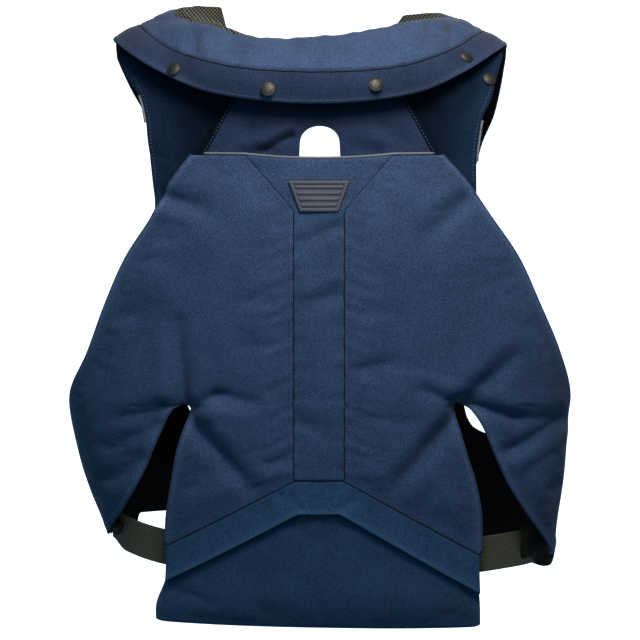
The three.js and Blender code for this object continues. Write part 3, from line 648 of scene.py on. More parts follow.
class Panel:
    """A cloth wall built from grids of middle points, joined where the grids meet."""

    def __init__(self, node: str, kind: str, stands: bool = True) -> None:
        """Starts an empty panel with layers for its wall.

        Args:
            node: The CAD node that it stands for, or a name like one.
            kind: The word that its name ends with.
            stands: Whether there is such a node.
        """
        self.name = f"{node}_{kind}"
        self.node = node if stands else None
        self.mesh = bmesh.new()
        layers = self.mesh.verts.layers
        self.thickness = layers.float.new("thickness")
        self.lift = layers.float.new("lift")
        self.hem = layers.float.new(RUBBED_AND_PAINTED_LIGHT_MARK)
        self.groups = layers.deform.verify()
        self.uv = self.mesh.loops.layers.uv.new(UV_NAME)
        self.reach = [0.0, 0.0]
        self.thickest = 0.0

    def add(self, rows: int, columns: int, shape: Shape) -> "Panel":
        """Adds a grid.

        Args:
            rows: Steps down the grid.
            columns: Steps across it, rightwards as seen from outside.
            shape: Gives the cloth at shares across and down.

        Returns:
            The panel itself.
        """
        made = bmesh.ops.create_grid(self.mesh, x_segments=columns, y_segments=rows, size=0.5)["verts"]
        u = np.array([vert.co.x for vert in made]) + 0.5
        v = 0.5 - np.array([vert.co.y for vert in made])
        cloth = shape(u, v)
        thickness = np.broadcast_to(cloth.thickness, u.shape)
        lift = np.broadcast_to(cloth.lift, u.shape)
        edge = np.broadcast_to(cloth.edge, u.shape)
        order = np.lexsort((u.round(6), v.round(6)))
        grid = cloth.points[order].reshape(len(set(v.round(6))), len(set(u.round(6))), 3)
        across = np.linalg.norm(np.diff(grid, axis=1), axis=2).sum(axis=1)
        down = np.linalg.norm(np.diff(grid, axis=0), axis=2).sum(axis=0)
        self.reach = [max(self.reach[0], across.max()), self.reach[1] + down.max()]
        flat = np.stack([u * across.mean(), -v * down.mean()], axis=-1) * MM
        for index, vert in enumerate(made):
            vert.co = cloth.points[index] * MM
            vert[self.thickness] = thickness[index]
            vert[self.lift] = lift[index]
            # The edge mark: rubbed edges on most panels, and painted shade and painted light on the yoke and
            # shoulders.
            vert[self.hem] = math.exp(-((max(edge[index], 0) / HEM_REACH) ** 2))
            for loop in vert.link_loops:
                loop[self.uv].uv = flat[index]
        self.thickest = max(self.thickest, float(thickness.max()))
        return self

    def close(self, settle: Settle | None) -> Piece:
        """Joins the grids, lifts the points and writes the object.

        Args:
            settle: How it is simulated, if it is.

        Returns:
            The panel's middle surface, with groups for its thickness and pinned points.
        """
        bmesh.ops.remove_doubles(self.mesh, verts=self.mesh.verts[:], dist=MERGE * MM)
        self.mesh.normal_update()
        for vert in self.mesh.verts:
            vert.co += vert.normal * vert[self.lift] * MM
            vert[self.groups][0] = vert[self.thickness] / self.thickest
        self.area = sum(face.calc_area() for face in self.mesh.faces)
        if settle:
            self.pin(settle.pinned * MM)
        piece = write_object(self.name, self.mesh)
        piece.vertex_groups.new(name="wall")
        piece.vertex_groups.new(name="pins")
        return piece

    def pin(self, reach: float) -> None:
        """Pins the points within a reach of the panel's outline, and eases off beyond it."""
        rim = [vert.co.copy() for vert in self.mesh.verts if vert.is_boundary]
        tree = BVHTree.FromPolygons(rim, [(i, i, i) for i in range(len(rim))], all_triangles=True)
        for vert in self.mesh.verts:
            away = tree.find_nearest(vert.co)[3]
            vert[self.groups][1] = 1.0 - smoothstep(away, reach, PIN_EASE * reach)

    def build(self, outer: Finish, inner: Finish | None = None, settle: Settle | None = None) -> Piece:
        """Makes the panel a finished wall in the place of its CAD node.

        Args:
            outer: The finish outside.
            inner: The finish inside, where it differs.
            settle: How it is simulated, if it is.

        Returns:
            The finished piece.
        """
        piece = self.close(settle)
        if settle:
            simulate(piece, settle)
        wall = piece.modifiers.new("wall", "SOLIDIFY")
        wall.thickness = self.thickest * MM
        wall.offset = 0
        wall.vertex_group = "wall"
        wall.material_offset = 1
        wall.use_quality_normals = True
        smooth = piece.modifiers.new("smooth", "SUBSURF")
        smooth.levels = smooth.render_levels = 1
        settle_in(piece, self.node, outer, inner or outer)
        return piece

    def sheet(self, outer: Finish, inner: Finish | None = None) -> Piece:
        """Makes the panel a finished wall and works out the size of its flat cut, which is not used.

        Args:
            outer: The finish outside.
            inner: The finish inside, where it differs.

        Returns:
            The finished piece.
        """
        piece = self.build(outer, inner)
        width, length = (side * MM for side in self.reach)
        min(self.area, width * length)
        return piece


def write_object(name: str, mesh: bmesh.types.BMesh) -> Piece:
    """Writes a working mesh to a new smooth-shaded object and frees it.

    Args:
        name: The piece's name.
        mesh: The working mesh, in metres.

    Returns:
        The new object, at the origin.
    """
    data = bpy.data.meshes.new(name)
    mesh.to_mesh(data)
    mesh.free()
    data.shade_smooth()
    return add_object(name, data)


def add_object(name: str, data: bpy.types.ID) -> Piece:
    """A new object in the scene with the given data."""
    made = bpy.data.objects.new(name, data)
    bpy.context.scene.collection.objects.link(made)
    return made


def settle_in(piece: Piece, node: str | None, *finishes: Finish) -> None:
    """Rides a piece on the vest's body, gives it its finishes and hides the CAD node that it stands for.

    Args:
        piece: The piece.
        node: The CAD node that it stands for, if any.
        *finishes: Its finishes, the outer one first.
    """
    for finish in finishes:
        piece.data.materials.append(finish.material())
    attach(piece, BODY)
    if node:
        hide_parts(node)
    LOG.info("built %s", piece.name)


NYLON = {
    "quality": 6,
    "mass": 0.05,
    "tension_stiffness": 20,
    "compression_stiffness": 20,
    "shear_stiffness": 8,
    "bending_stiffness": 0.8,
    "vertex_group_mass": "pins",
    "use_pressure": True,
}


def simulate(piece: Piece, settle: Settle) -> None:
    """Blows a panel out between its pinned seams and keeps the result.

    Args:
        piece: The panel's middle surface, with its group of pins.
        settle: Pressure, slack and the furthest that a point may move.
    """
    scene = bpy.context.scene
    rest = np.array([vert.co for vert in piece.data.vertices])
    cloth = piece.modifiers.new("cloth", "CLOTH")
    blown = {"shrink_min": -settle.slack, "uniform_pressure_force": settle.pressure}
    for key, value in (NYLON | blown).items():
        setattr(cloth.settings, key, value)
    cloth.settings.effector_weights.gravity = 0
    cloth.collision_settings.use_collision = False
    cloth.point_cache.frame_start = 1
    cloth.point_cache.frame_end = settle.frames
    for step in range(1, settle.frames + 1):
        scene.frame_set(step)
    graph = bpy.context.evaluated_depsgraph_get()
    moved = np.array([vert.co for vert in piece.evaluated_get(graph).data.vertices])
    piece.modifiers.remove(cloth)
    scene.frame_set(1)
    push = moved - rest
    size = np.linalg.norm(push, axis=1, keepdims=True)
    cap = settle.cap * MM
    push *= cap * np.tanh(size / cap) / np.maximum(size, TINY)
    LOG.info("settled %s by up to %.1f mm, %.1f mm on average", piece.name, size.max() / MM, size.mean() / MM)
    piece.data.vertices.foreach_set("co", (rest + push).astype(np.float32).ravel())
    piece.data.update()


# Back


@dataclass
class SpineSizes:
    """The shield at the top of the back and the strip that it narrows to."""

    back_top: float = -124.0
    dip: float = 4.0
    shield_half: float = 77.0
    strip_half: float = 26.0
    strip_top: float = -181.0
    strip_bottom: float = -463.0
    shield_rows: float = 0.2

    def half(self, z: Numbers) -> Array:
        """Half-width at a height."""
        share = np.clip((z - self.strip_top) / (self.back_top - self.strip_top), 0, 1)
        return lerp(self.strip_half, self.shield_half, share)

    def row(self, top: Numbers, bottom: float, v: Array) -> Array:
        """Height of a row, with one row where the shield meets the strip."""
        upper = lerp(top, self.strip_top, v / self.shield_rows)
        lower = lerp(self.strip_top, bottom, (v - self.shield_rows) / (1 - self.shield_rows))
        return np.where(v < self.shield_rows, upper, lower)


@dataclass
class BandSizes:
    """The chevron across the lower back: its flat middle and its two ends."""

    flat_upper: float = 26.0
    flat_lower: float = 22.0
    flat_share: float = 0.15
    centre_upper: float = -464.0
    centre_lower: float = -500.0
    hem: float = 4.0
    stand: float = 3.0
    ends: Table = Table(
        ("sign", "x", "upper", "lower"),
        ((-1, 161, -537.5, -576), (1, 169, -547, -589)),
    )

    def end(self, x: Numbers, column: str) -> Array:
        """A column of the end on the same side as x."""
        return self.ends.at(np.where(np.asarray(x) < 0, -1.0, 1.0), column)

    def edge(self, share: Array, name: str) -> tuple[Array, Array]:
        """Place across and height of an edge, from its left end at -1 to its right end at 1."""
        along = np.maximum(0, (np.abs(share) - self.flat_share) / (1 - self.flat_share))
        flat = getattr(self, f"flat_{name}") * np.minimum(1, np.abs(share) / self.flat_share)
        x = np.sign(share) * lerp(flat, self.end(share, "x"), along)
        return x, lerp(getattr(self, f"centre_{name}"), self.end(share, name), along)

    def height(self, x: Numbers, name: str) -> Array:
        """Height of an edge at a place across."""
        flat = getattr(self, f"flat_{name}")
        along = np.maximum(0, (np.abs(x) - flat) / (self.end(x, "x") - flat))
        return lerp(getattr(self, f"centre_{name}"), self.end(x, name), along)


SPINE = SpineSizes()
BAND = BandSizes()


def outer_surface(x: Numbers, z: Numbers, above: Numbers, face: Face = Face.BACK) -> Array:
    """Points at a height above the torso's surface, for lines that lie on the cloth."""
    here = torso(x, z, face)
    step = 1.0
    sideways = torso(x + step, z, face) - torso(x - step, z, face)
    upward = torso(x, z + step, face) - torso(x, z - step, face)
    return here + unit(np.cross(sideways, upward) * -face.value) * np.asarray(above)[..., None]


@dataclass
class BackPanel:
    """One side of the back: the part beside the spine and the wing, joined above the slit."""

    side: Side
    slit_top: float = -384.0
    row_power: float = 1.2
    line_at_top: float = 104.0
    tip_width: float = 5.0
    tip_round: float = 3.5
    apex: float = 4.0
    band_clear: float = 2.0
    pucker_slant: float = 0.4
    seam_steps: int = 90
    rows: int = 60
    lower_rows: int = 40
    columns: int = 26
    settle: Settle = Settle(pressure=1.5, slack=0.012, cap=3.0)
    tips: Table = Table(("sign", "z"), ((-1, -530), (1, -556)))
    wing: Table = Table(
        ("z", "left", "right"),
        (
            (-562, 222, 251), (-528, 228, 253), (-478, 247, 260), (-427, 260, 263), (-383, 263.5, 266),
            (-335, 243, 253), (-283, 223.5, 231), (-231, 200, 207), (-186, 171, 176), (-156, 156, 156),
            (-124, 132, 128),
        ),
    )
    slit: Table = Table(
        ("z", "left_in", "left_out", "right_in", "right_out"),
        (
            (-560, 161, 246, 170, 250), (-545, 161, 237, 170, 245), (-505, 160, 211, 170, 220),
            (-468, 154, 190, 163, 198), (-436, 148, 176, 153, 184), (-406, 139, 163, 145, 171),
            (-396, 136, 158, 143, 165), (-388, 136, 152, 143, 158), (-384, 143, 143, 148, 148),
        ),
    )

    @property
    def tip(self) -> float:
        """Height of the wing's tip."""
        return float(self.tips.at(self.side.value, "z"))

    def slit_edge(self, z: Numbers, which: str) -> Array:
        """The slit's inner or outer edge at a height."""
        return self.slit.at(z, f"{self.side.word}_{which}")

    def slit_line(self, z: Numbers) -> Array:
        """The line that the slit follows on up to the panel's top."""
        share = (z - self.slit_top) / (SPINE.back_top - self.slit_top)
        return lerp(self.slit_edge(self.slit_top, "in"), self.line_at_top, share)

    def wing_edge(self, z: Numbers) -> Array:
        """The wing's outer edge at a height."""
        return np.minimum(self.wing.at(z, self.side.word), SECTIONS.at(z, self.side.word))

    def cloth(self, x: Array, z: Array, seam: Array, free: Numbers = SEWN) -> Cloth:
        """The panel's cloth at places seen from behind, by its distance to the seams and to a free edge."""
        points = torso(self.side.value * x, z, Face.BACK)
        points[..., 1] = np.minimum(points[..., 1], -SEAM_GAP / 2)
        ripple = pucker(x - SPINE.half(z), z + self.pucker_slant * x)
        lift = ripple - fold_depth(points[..., 0], z)
        return Cloth(points, padding(seam), free, lift)

    def beside_spine(self, u: Array, v: Array) -> Cloth:
        """From the spine's seam to the slit's line, above the slit."""
        z = SPINE.row(SPINE.back_top, self.slit_top, v)
        seam = SPINE.half(z) - SEAM_LAP
        x = lerp(seam, self.slit_line(z), self.side.outward(u))
        return self.cloth(x, z, np.minimum(x - seam, SPINE.back_top - z))

    def below_apex(self, u: Array, v: Array) -> Cloth:
        """From the spine's seam to the slit, down to the waist band."""
        down = v**self.row_power
        band_end = BAND.end(self.side.value, "upper")
        slit = self.slit_edge(lerp(self.slit_top, band_end, down), "in")
        seam = SPINE.half(self.slit_top) - SEAM_LAP
        x = lerp(seam, slit, self.side.outward(u))
        foot = BAND.height(self.side.value * x, "upper") - SEAM_LAP
        z = lerp(self.slit_top, foot, down)
        to_slit = np.where(v == 0, PAD_RAMP, slit - x)
        return self.cloth(x, z, np.minimum.reduce([x - seam, z - foot, to_slit]), to_slit)

    def upper_wing(self, u: Array, v: Array) -> Cloth:
        """From the slit's line out to the wing's edge, above the slit."""
        z = SPINE.row(SPINE.back_top, self.slit_top, v)
        edge = self.wing_edge(z)
        x = lerp(self.slit_line(z), edge, np.sin(self.side.outward(u) * math.pi / 2))
        return self.cloth(x, z, np.minimum(edge - x, SPINE.back_top - z), edge - x)

    def lower_wing(self, u: Array, v: Array) -> Cloth:
        """From the slit out to the wing's edge, down to its tip."""
        z = lerp(self.slit_top, self.tip, v**self.row_power)
        edge = self.wing_edge(z)
        slit = np.minimum(self.slit_edge(z, "out"), edge - self.tip_width)
        x = lerp(slit, edge, np.sin(self.side.outward(u) * math.pi / 2))
        to_slit = np.where(v == 0, PAD_RAMP, x - slit)
        free = np.minimum.reduce([edge - x, to_slit, z - self.tip])
        return self.cloth(x, z, free, free)

    def build(self) -> Piece:
        """Builds and dresses the panel."""
        panel = Panel(f"back_panel_{self.side.word}", "padded")
        panel.add(self.rows, self.columns, self.beside_spine)
        panel.add(self.lower_rows, self.columns, self.below_apex)
        panel.add(self.rows, self.columns, self.upper_wing)
        panel.add(self.lower_rows, self.columns, self.lower_wing)
        piece = panel.build(NAVY, LINING, self.settle)
        return piece

    def outline(self, inset: float, steps: int = 60) -> Array:
        """The free edge from the piping's end round the wing and both sides of the slit.

        Args:
            inset: How far inside the edge the line runs.
            steps: Points on each stretch.

        Returns:
            Points on the middle surface.
        """
        share = np.linspace(0, 1, steps)
        foot = self.tip + max(inset, self.tip_round)
        wing_z = lerp(SPINE.back_top - inset, foot, share)
        slit_z = lerp(foot, self.slit_top, share)
        band_end = BAND.end(self.side.value, "upper") + self.band_clear
        inner_z = lerp(self.slit_top, band_end, share**self.row_power)
        wing_x = self.wing_edge(wing_z) - inset
        outer_x = np.minimum(self.slit_edge(slit_z, "out"), self.wing_edge(slit_z) - self.tip_width) + inset
        inner_x = self.slit_edge(inner_z, "in") - inset
        outer_z = np.where(slit_z > self.slit_top - self.apex, slit_z + inset, slit_z)
        inner_z = np.where(inner_z > self.slit_top - self.apex, inner_z + inset, inner_z)
        x = np.concatenate([wing_x, outer_x, inner_x])
        z = np.concatenate([wing_z, outer_z, inner_z])
        depth = fold_depth(self.side.value * x, z)
        return outer_surface(self.side.value * x, z, -depth)

    def spine_seam(self, away: float) -> Array:
        """The line of stitches beside the spine's seam."""
        z = np.linspace(SPINE.back_top - away, SPINE.strip_bottom + away, self.seam_steps)
        x = self.side.value * (SPINE.half(z) + away)
        return outer_surface(x, z, padding(away) / 2 - fold_depth(x, z))


@dataclass
class SpinePanel:
    """The shield and strip down the middle of the back."""

    fold_ease: Pair = (-3.0, 8.0)
    rows: int = 84
    columns: int = 14

    def cloth(self, u: Array, v: Array) -> Cloth:
        """The panel's cloth, with puckers across the strip."""
        across = 2 * u - 1
        dip = SPINE.dip * (1 - across**2) * (1 - v)
        z = SPINE.row(SPINE.back_top - dip + EDGE_SHRINK, SPINE.strip_bottom - 2 * SEAM_LAP, v)
        half = SPINE.half(z) + SEAM_LAP
        points = torso(across * half, z, Face.BACK)
        seam = half * (1 - np.abs(across))
        folds = fold_depth(points[..., 0], z, SPINE_FOLDS) * smoothstep(seam, *self.fold_ease)
        lift = pucker(seam, z) - folds
        return Cloth(points, padding(seam), SEWN, lift)

    def build(self) -> Piece:
        """Builds and dresses the panel."""
        panel = Panel("spine_panel", "padded").add(self.rows, self.columns, self.cloth)
        piece = panel.build(NAVY, LINING)
        return piece


@dataclass
class WaistBand:
    """The chevron band, sewn along its upper edge and hemmed along its lower one."""

    rows: int = 10
    columns: int = 110

    def cloth(self, u: Array, v: Array) -> Cloth:
        """The band's cloth."""
        upper_x, upper_z = BAND.edge(2 * u - 1, "upper")
        lower_x, lower_z = BAND.edge(2 * u - 1, "lower")
        z = lerp(upper_z + SEAM_LAP, lower_z, v)
        x = lerp(upper_x, lower_x, v)
        height = upper_z - lower_z
        lift = BAND.stand * v**2 - fold_depth(x, z, BAND_FOLDS)
        return Cloth(torso(x, z, Face.BACK), lerp(CLOTH, BAND.hem, v), (1 - v) * height, lift)

    def build(self) -> Piece:
        """Builds and dresses the band."""
        panel = Panel("waist_band", "cloth").add(self.rows, self.columns, self.cloth)
        # The band's cloth has painted cooler light.
        return panel.sheet(COOL_LIT_WAIST_NAVY, LINING)


@dataclass
class TailPanel:
    """The padded pouch that comes out below the waist band."""

    tuck: float = 22.0
    bulge: float = 5.0
    edge: float = 4.0
    full: float = 15.0
    swell_from: float = 0.35
    swell_to: float = 0.75
    squareness: int = 4
    middle: float = -575.0
    rows: int = 30
    columns: int = 72
    hems: Table = Table(("sign", "z"), ((-1, -619), (1, -625)))
    corner: float = 2.5
    corner_from: float = 0.95
    settle: Settle = Settle(pressure=2.0, slack=0.008, cap=3.0, pinned=5.0)
    sides: Table = Table(
        ("z", "left", "right"),
        ((-620, 174.5, 172), (-600, 174, 171.5), (-575, 164.5, 169), (-540, 158, 164)),
    )

    def half(self, across: Array, z: Numbers) -> Array:
        """Half-width at a height, on the side that a place across is on."""
        return np.where(across < 0, self.sides.at(z, "left"), self.sides.at(z, "right"))

    def cloth(self, u: Array, v: Array) -> Cloth:
        """The pouch's middle surface, with its thickness."""
        across = 2 * u - 1
        hem = lerp(self.hems.at(-1, "z"), self.hems.at(1, "z"), u)
        hem += self.corner * smoothstep(np.abs(across), self.corner_from, 1.0) ** 2
        top = BAND.height(across * self.half(across, self.middle), "lower") + self.tuck
        z = lerp(top, hem, v)
        half = self.half(across, z)
        x = across * half
        wide, high = 1 - across**self.squareness, 1 - (2 * v - 1) ** self.squareness
        fullness = np.sqrt(np.maximum(0, wide * high))
        thickness = lerp(self.edge, self.full, fullness)
        bulge = self.bulge * smoothstep(v, self.swell_from, self.swell_to) * fullness
        lift = bulge - BAND.hem / 2 - LAYER_GAP - thickness / 2
        seam = np.minimum(half * (1 - np.abs(across)), (1 - v) * (top - hem))
        return Cloth(torso(x, z, Face.BACK), thickness, seam, lift)

    def build(self) -> Piece:
        """Builds and dresses the pouch."""
        panel = Panel("tail_panel", "padded").add(self.rows, self.columns, self.cloth)
        # The pouch's cloth has painted cooler light.
        piece = panel.build(COOL_LIT_TAIL_NAVY, LINING, self.settle)
        return piece


# Yoke and shoulders


@dataclass
class YokeSizes:
    """The yoke's seam with the shoulder panels, its height and its arched hole."""

    bottom: float = -152.0
    top: float = -26.0
    seam_height: float = -65.0
    seam_half: float = 86.0
    seam_slope: float = 0.56
    arch_half: float = 22.5
    arch_spring: float = 20.5
    arch_crown: float = 18.5
    arch_top: float = -87.5
    arch_spring_height: float = -109.0
    arch_middle: float = 0.8
    round: float = 1.12

    def seam(self, z: Numbers) -> Numbers:
        """Half-width at the seam at a height."""
        return self.seam_half + (self.seam_height - z) * self.seam_slope

    def under(self, z: Numbers) -> Array:
        """How far the cloth lies below the back panels' level: most at the foot, flush on top."""
        return -UNDERLAP * np.clip(z / SPINE.back_top, 0, 1)

    def arch(self, share: Array) -> tuple[Array, Array]:
        """Place across and height of the arch's crown, from its left spring at 0 to its right one at 1."""
        rise = 3 * share * (1 - share)
        x = self.arch_spring * (share**3 - (1 - share) ** 3) + self.arch_crown * rise * (2 * share - 1)
        return x, lerp(self.arch_spring_height, self.arch_top, rise)


YOKE = YokeSizes()


@dataclass
class YokePanel:
    """The upper back under the collar, with the arched hole on its centre line."""

    rows: int = 30
    lower_rows: int = 14
    columns: int = 50
    middle_columns: int = 22
    shaded: float = 30.0
    shade_foot: float = -74.0
    shade_slope: float = 0.14

    def cloth(self, x: Array, z: Array) -> Cloth:
        """The yoke's cloth at places seen from behind."""
        ease = smoothstep(YOKE.seam(z) - np.abs(x), 0.0, SEAM_EASE)
        lift = YOKE.under(z) - fold_depth(x, z, YOKE_FOLDS) * ease
        # Painted shadow: the edge colour is near black just under the collar's band and fades out below it.
        below_collar = self.shade_foot + self.shade_slope * np.abs(x) - z
        points = torso(x + YOKE.arch_middle, z, Face.BACK)
        return Cloth(points, CLOTH, below_collar * HEM_REACH / self.shaded, lift)

    def above_arch(self, u: Array, v: Array) -> Cloth:
        """From the neck's edge down to the arch's crown."""
        crown_x, crown_z = YOKE.arch(u)
        return self.cloth(lerp((2 * u - 1) * YOKE.arch_spring, crown_x, v), lerp(YOKE.top, crown_z, v))

    def beside(self, side: Side, lower: bool) -> Shape:
        """The shape of a stretch from the arch to a shoulder panel's seam.

        Args:
            side: The side that it is on.
            lower: Whether it is the stretch below the arch's spring or the one above.

        Returns:
            The cloth at shares across and down.
        """
        top, bottom = (YOKE.arch_spring_height, YOKE.bottom) if lower else (YOKE.top, YOKE.arch_spring_height)

        def shape(u: Array, v: Array) -> Cloth:
            """The stretch's cloth."""
            z = lerp(top, bottom, v)
            inner = lerp(YOKE.arch_spring, YOKE.arch_half, v if lower else 0 * v)
            outer = YOKE.seam(z) + SEAM_LAP - side.value * YOKE.arch_middle
            return self.cloth(side.value * lerp(inner, outer, side.outward(u)), z)

        return shape

    def build(self) -> Piece:
        """Builds and dresses the yoke."""
        panel = Panel("yoke_panel", "cloth").add(self.rows, self.middle_columns, self.above_arch)
        for side in Side:
            panel.add(self.rows, self.columns, self.beside(side, False))
            panel.add(self.lower_rows, self.columns, self.beside(side, True))
        # The yoke's cloth has painted shade, black just under the collar.
        piece = panel.build(SHADED_YOKE_NAVY, LINING)
        width, length = 2 * YOKE.seam(YOKE.bottom) * YOKE.round, YOKE.top - YOKE.bottom
        return piece


NECK_HALF = 100.0
NECK_HEIGHT_BEHIND = -26.0
NECK_HALF_BEHIND = 63.0
SHOULDER_HEIGHT = -10.0
SHOULDER_TOP_ANGLE = math.pi / 2 - 0.0065


def neck_edge(z: Numbers) -> Array:
    """The neck's edge on the shoulder panels: up the yoke's seam, then out to the shoulder line."""
    climb = shoulder_line(NECK_HALF) - NECK_HEIGHT_BEHIND
    share = np.clip((z - NECK_HEIGHT_BEHIND) / climb, 0, 1)
    return lerp(NECK_HALF_BEHIND, NECK_HALF, np.sin(share * math.pi / 2))


CORNER = Table(("sign", "rise", "start", "full"), ((-1, 7.0, 182, 213), (1, 1.0, 165, 194)))
CORNER_POWER = 8
NECK_DROP = 9.0
NECK_DROP_REACH = 30.0


def corner_rise(x: Array, angle: Array, side: Side) -> Array:
    """How far a shoulder's outer corner is drawn up to the collar, and its neck edge let down inside it."""
    rise, start, full = (float(CORNER.at(side.value, column)) for column in CORNER.columns[1:])
    drop = NECK_DROP * (1 - smoothstep(x, NECK_HALF, NECK_HALF + NECK_DROP_REACH))
    return (rise * smoothstep(x, start, full) - drop) * np.sin(angle) ** CORNER_POWER


SHOULDER_EDGE = Table(
    ("z", "left", "right"),
    (
        (-195, 171, 168), (-150, 176, 166), (-108, 181, 168), (-85, 183, 172), (-62, 189, 182),
        (-40, 202, 187), (-15, 213, 194),
    ),
)
SEAM_EASE = 16.0
YOKE_FOLDS = (
    Fold(-30, -103, -58, -117, 5, 8.5, 0.45), Fold(-50, -119, -84, -121, 6, 6.0, 0.3),
    Fold(-74, -96, -98, -116, 9, 3.0, -0.3), Fold(62, -120, 34, -114, 8, 3.6, 0.4),
    Fold(70, -96, 92, -116, 10, 3.0, 0.3),
)
SHOULDER_FOLDS = (
    Fold(-104, -66, -132, -124, 17, 13), Fold(104, -66, 132, -124, 17, 9),
    Fold(-143, -98, -130, -150, 12, 3.5, 0.3), Fold(-176, -124, -138, -136, 2.2, 1.4),
    Fold(-166, -84, -165, -120, 2.0, 1.1), Fold(134, -84, 150, -132, 12, 3.5, -0.3),
    Fold(168, -60, 150, -86, 9, 3.0, 0.3),
)


@dataclass
class ShoulderPanel:
    """From under the back panel up to the top of the shoulder."""

    side: Side
    bottom: float = -192.0
    lit_edge_reach: float = 30.0
    stitch_top: float = -45.0
    edge_foot: float = -150.0
    yoke_foot: float = -122.0
    edge_steps: int = 40
    yoke_steps: int = 30
    rows: int = 56
    lower_rows: int = 24
    columns: int = 32

    def seam(self, z: Array) -> Array:
        """The inner edge at a height."""
        return np.where(z > NECK_HEIGHT_BEHIND, neck_edge(z), YOKE.seam(z) - SEAM_LAP)

    def cloth(self, x: Array, z: Array, edge: Array) -> Cloth:
        """The panel's cloth at places seen from behind."""
        points = torso(self.side.value * x, z, Face.BACK)
        folds = fold_depth(points[..., 0], z, BACK_FOLDS + SHOULDER_FOLDS)
        folds = folds * smoothstep(x - self.seam(z), 0.0, SEAM_EASE)
        # Painted light: the edge colour makes the cloth lighter towards the outer edge, over the painted
        # shade of the rest.
        return Cloth(points, CLOTH, edge * HEM_REACH / self.lit_edge_reach, YOKE.under(z) - folds)

    def over_shoulder(self, u: Array, v: Array) -> Cloth:
        """Up from where the torso starts to round over."""
        angle = (1 - v) * SHOULDER_TOP_ANGLE
        middle = (NECK_HALF + SHOULDER_EDGE.at(SHOULDER_HEIGHT, self.side.word)) / 2
        nominal = climbed_height(middle, angle)
        outer = SHOULDER_EDGE.at(nominal, self.side.word)
        inner = self.seam(climbed_height(self.seam(nominal), angle))
        x = lerp(inner, outer, self.side.outward(u))
        z = climbed_height(x, angle) + corner_rise(x, angle, self.side)
        return self.cloth(x, z, outer - x)

    def under_back(self, u: Array, v: Array) -> Cloth:
        """Down under the back panel."""
        z = lerp(ROUND_START, self.bottom, v)
        outer = SHOULDER_EDGE.at(z, self.side.word)
        x = lerp(self.seam(z), outer, self.side.outward(u))
        return self.cloth(x, z, outer - x)

    def build(self) -> Piece:
        """Builds and dresses the panel."""
        panel = Panel(f"shoulder_panel_{self.side.word}", "cloth")
        panel.add(self.rows, self.columns, self.over_shoulder)
        panel.add(self.lower_rows, self.columns, self.under_back)
        # The shoulders' cloth has painted shade, with painted light towards the outer edge.
        return panel.sheet(SHADED_SHOULDER_NAVY, LINING)

    def edge_line(self, away: float) -> Array:
        """The line of stitches inside the outer edge."""
        z = np.linspace(self.stitch_top, self.edge_foot, self.edge_steps)
        x = self.side.value * (SHOULDER_EDGE.at(z, self.side.word) - away)
        return outer_surface(x, z, YOKE.under(z) + CLOTH / 2)

    def yoke_line(self, away: float) -> Array:
        """The line of stitches beside the yoke's seam."""
        z = np.linspace(self.stitch_top, self.yoke_foot, self.yoke_steps)
        return outer_surface(self.side.value * (YOKE.seam(z) + away), z, YOKE.under(z) + CLOTH / 2)


# Front


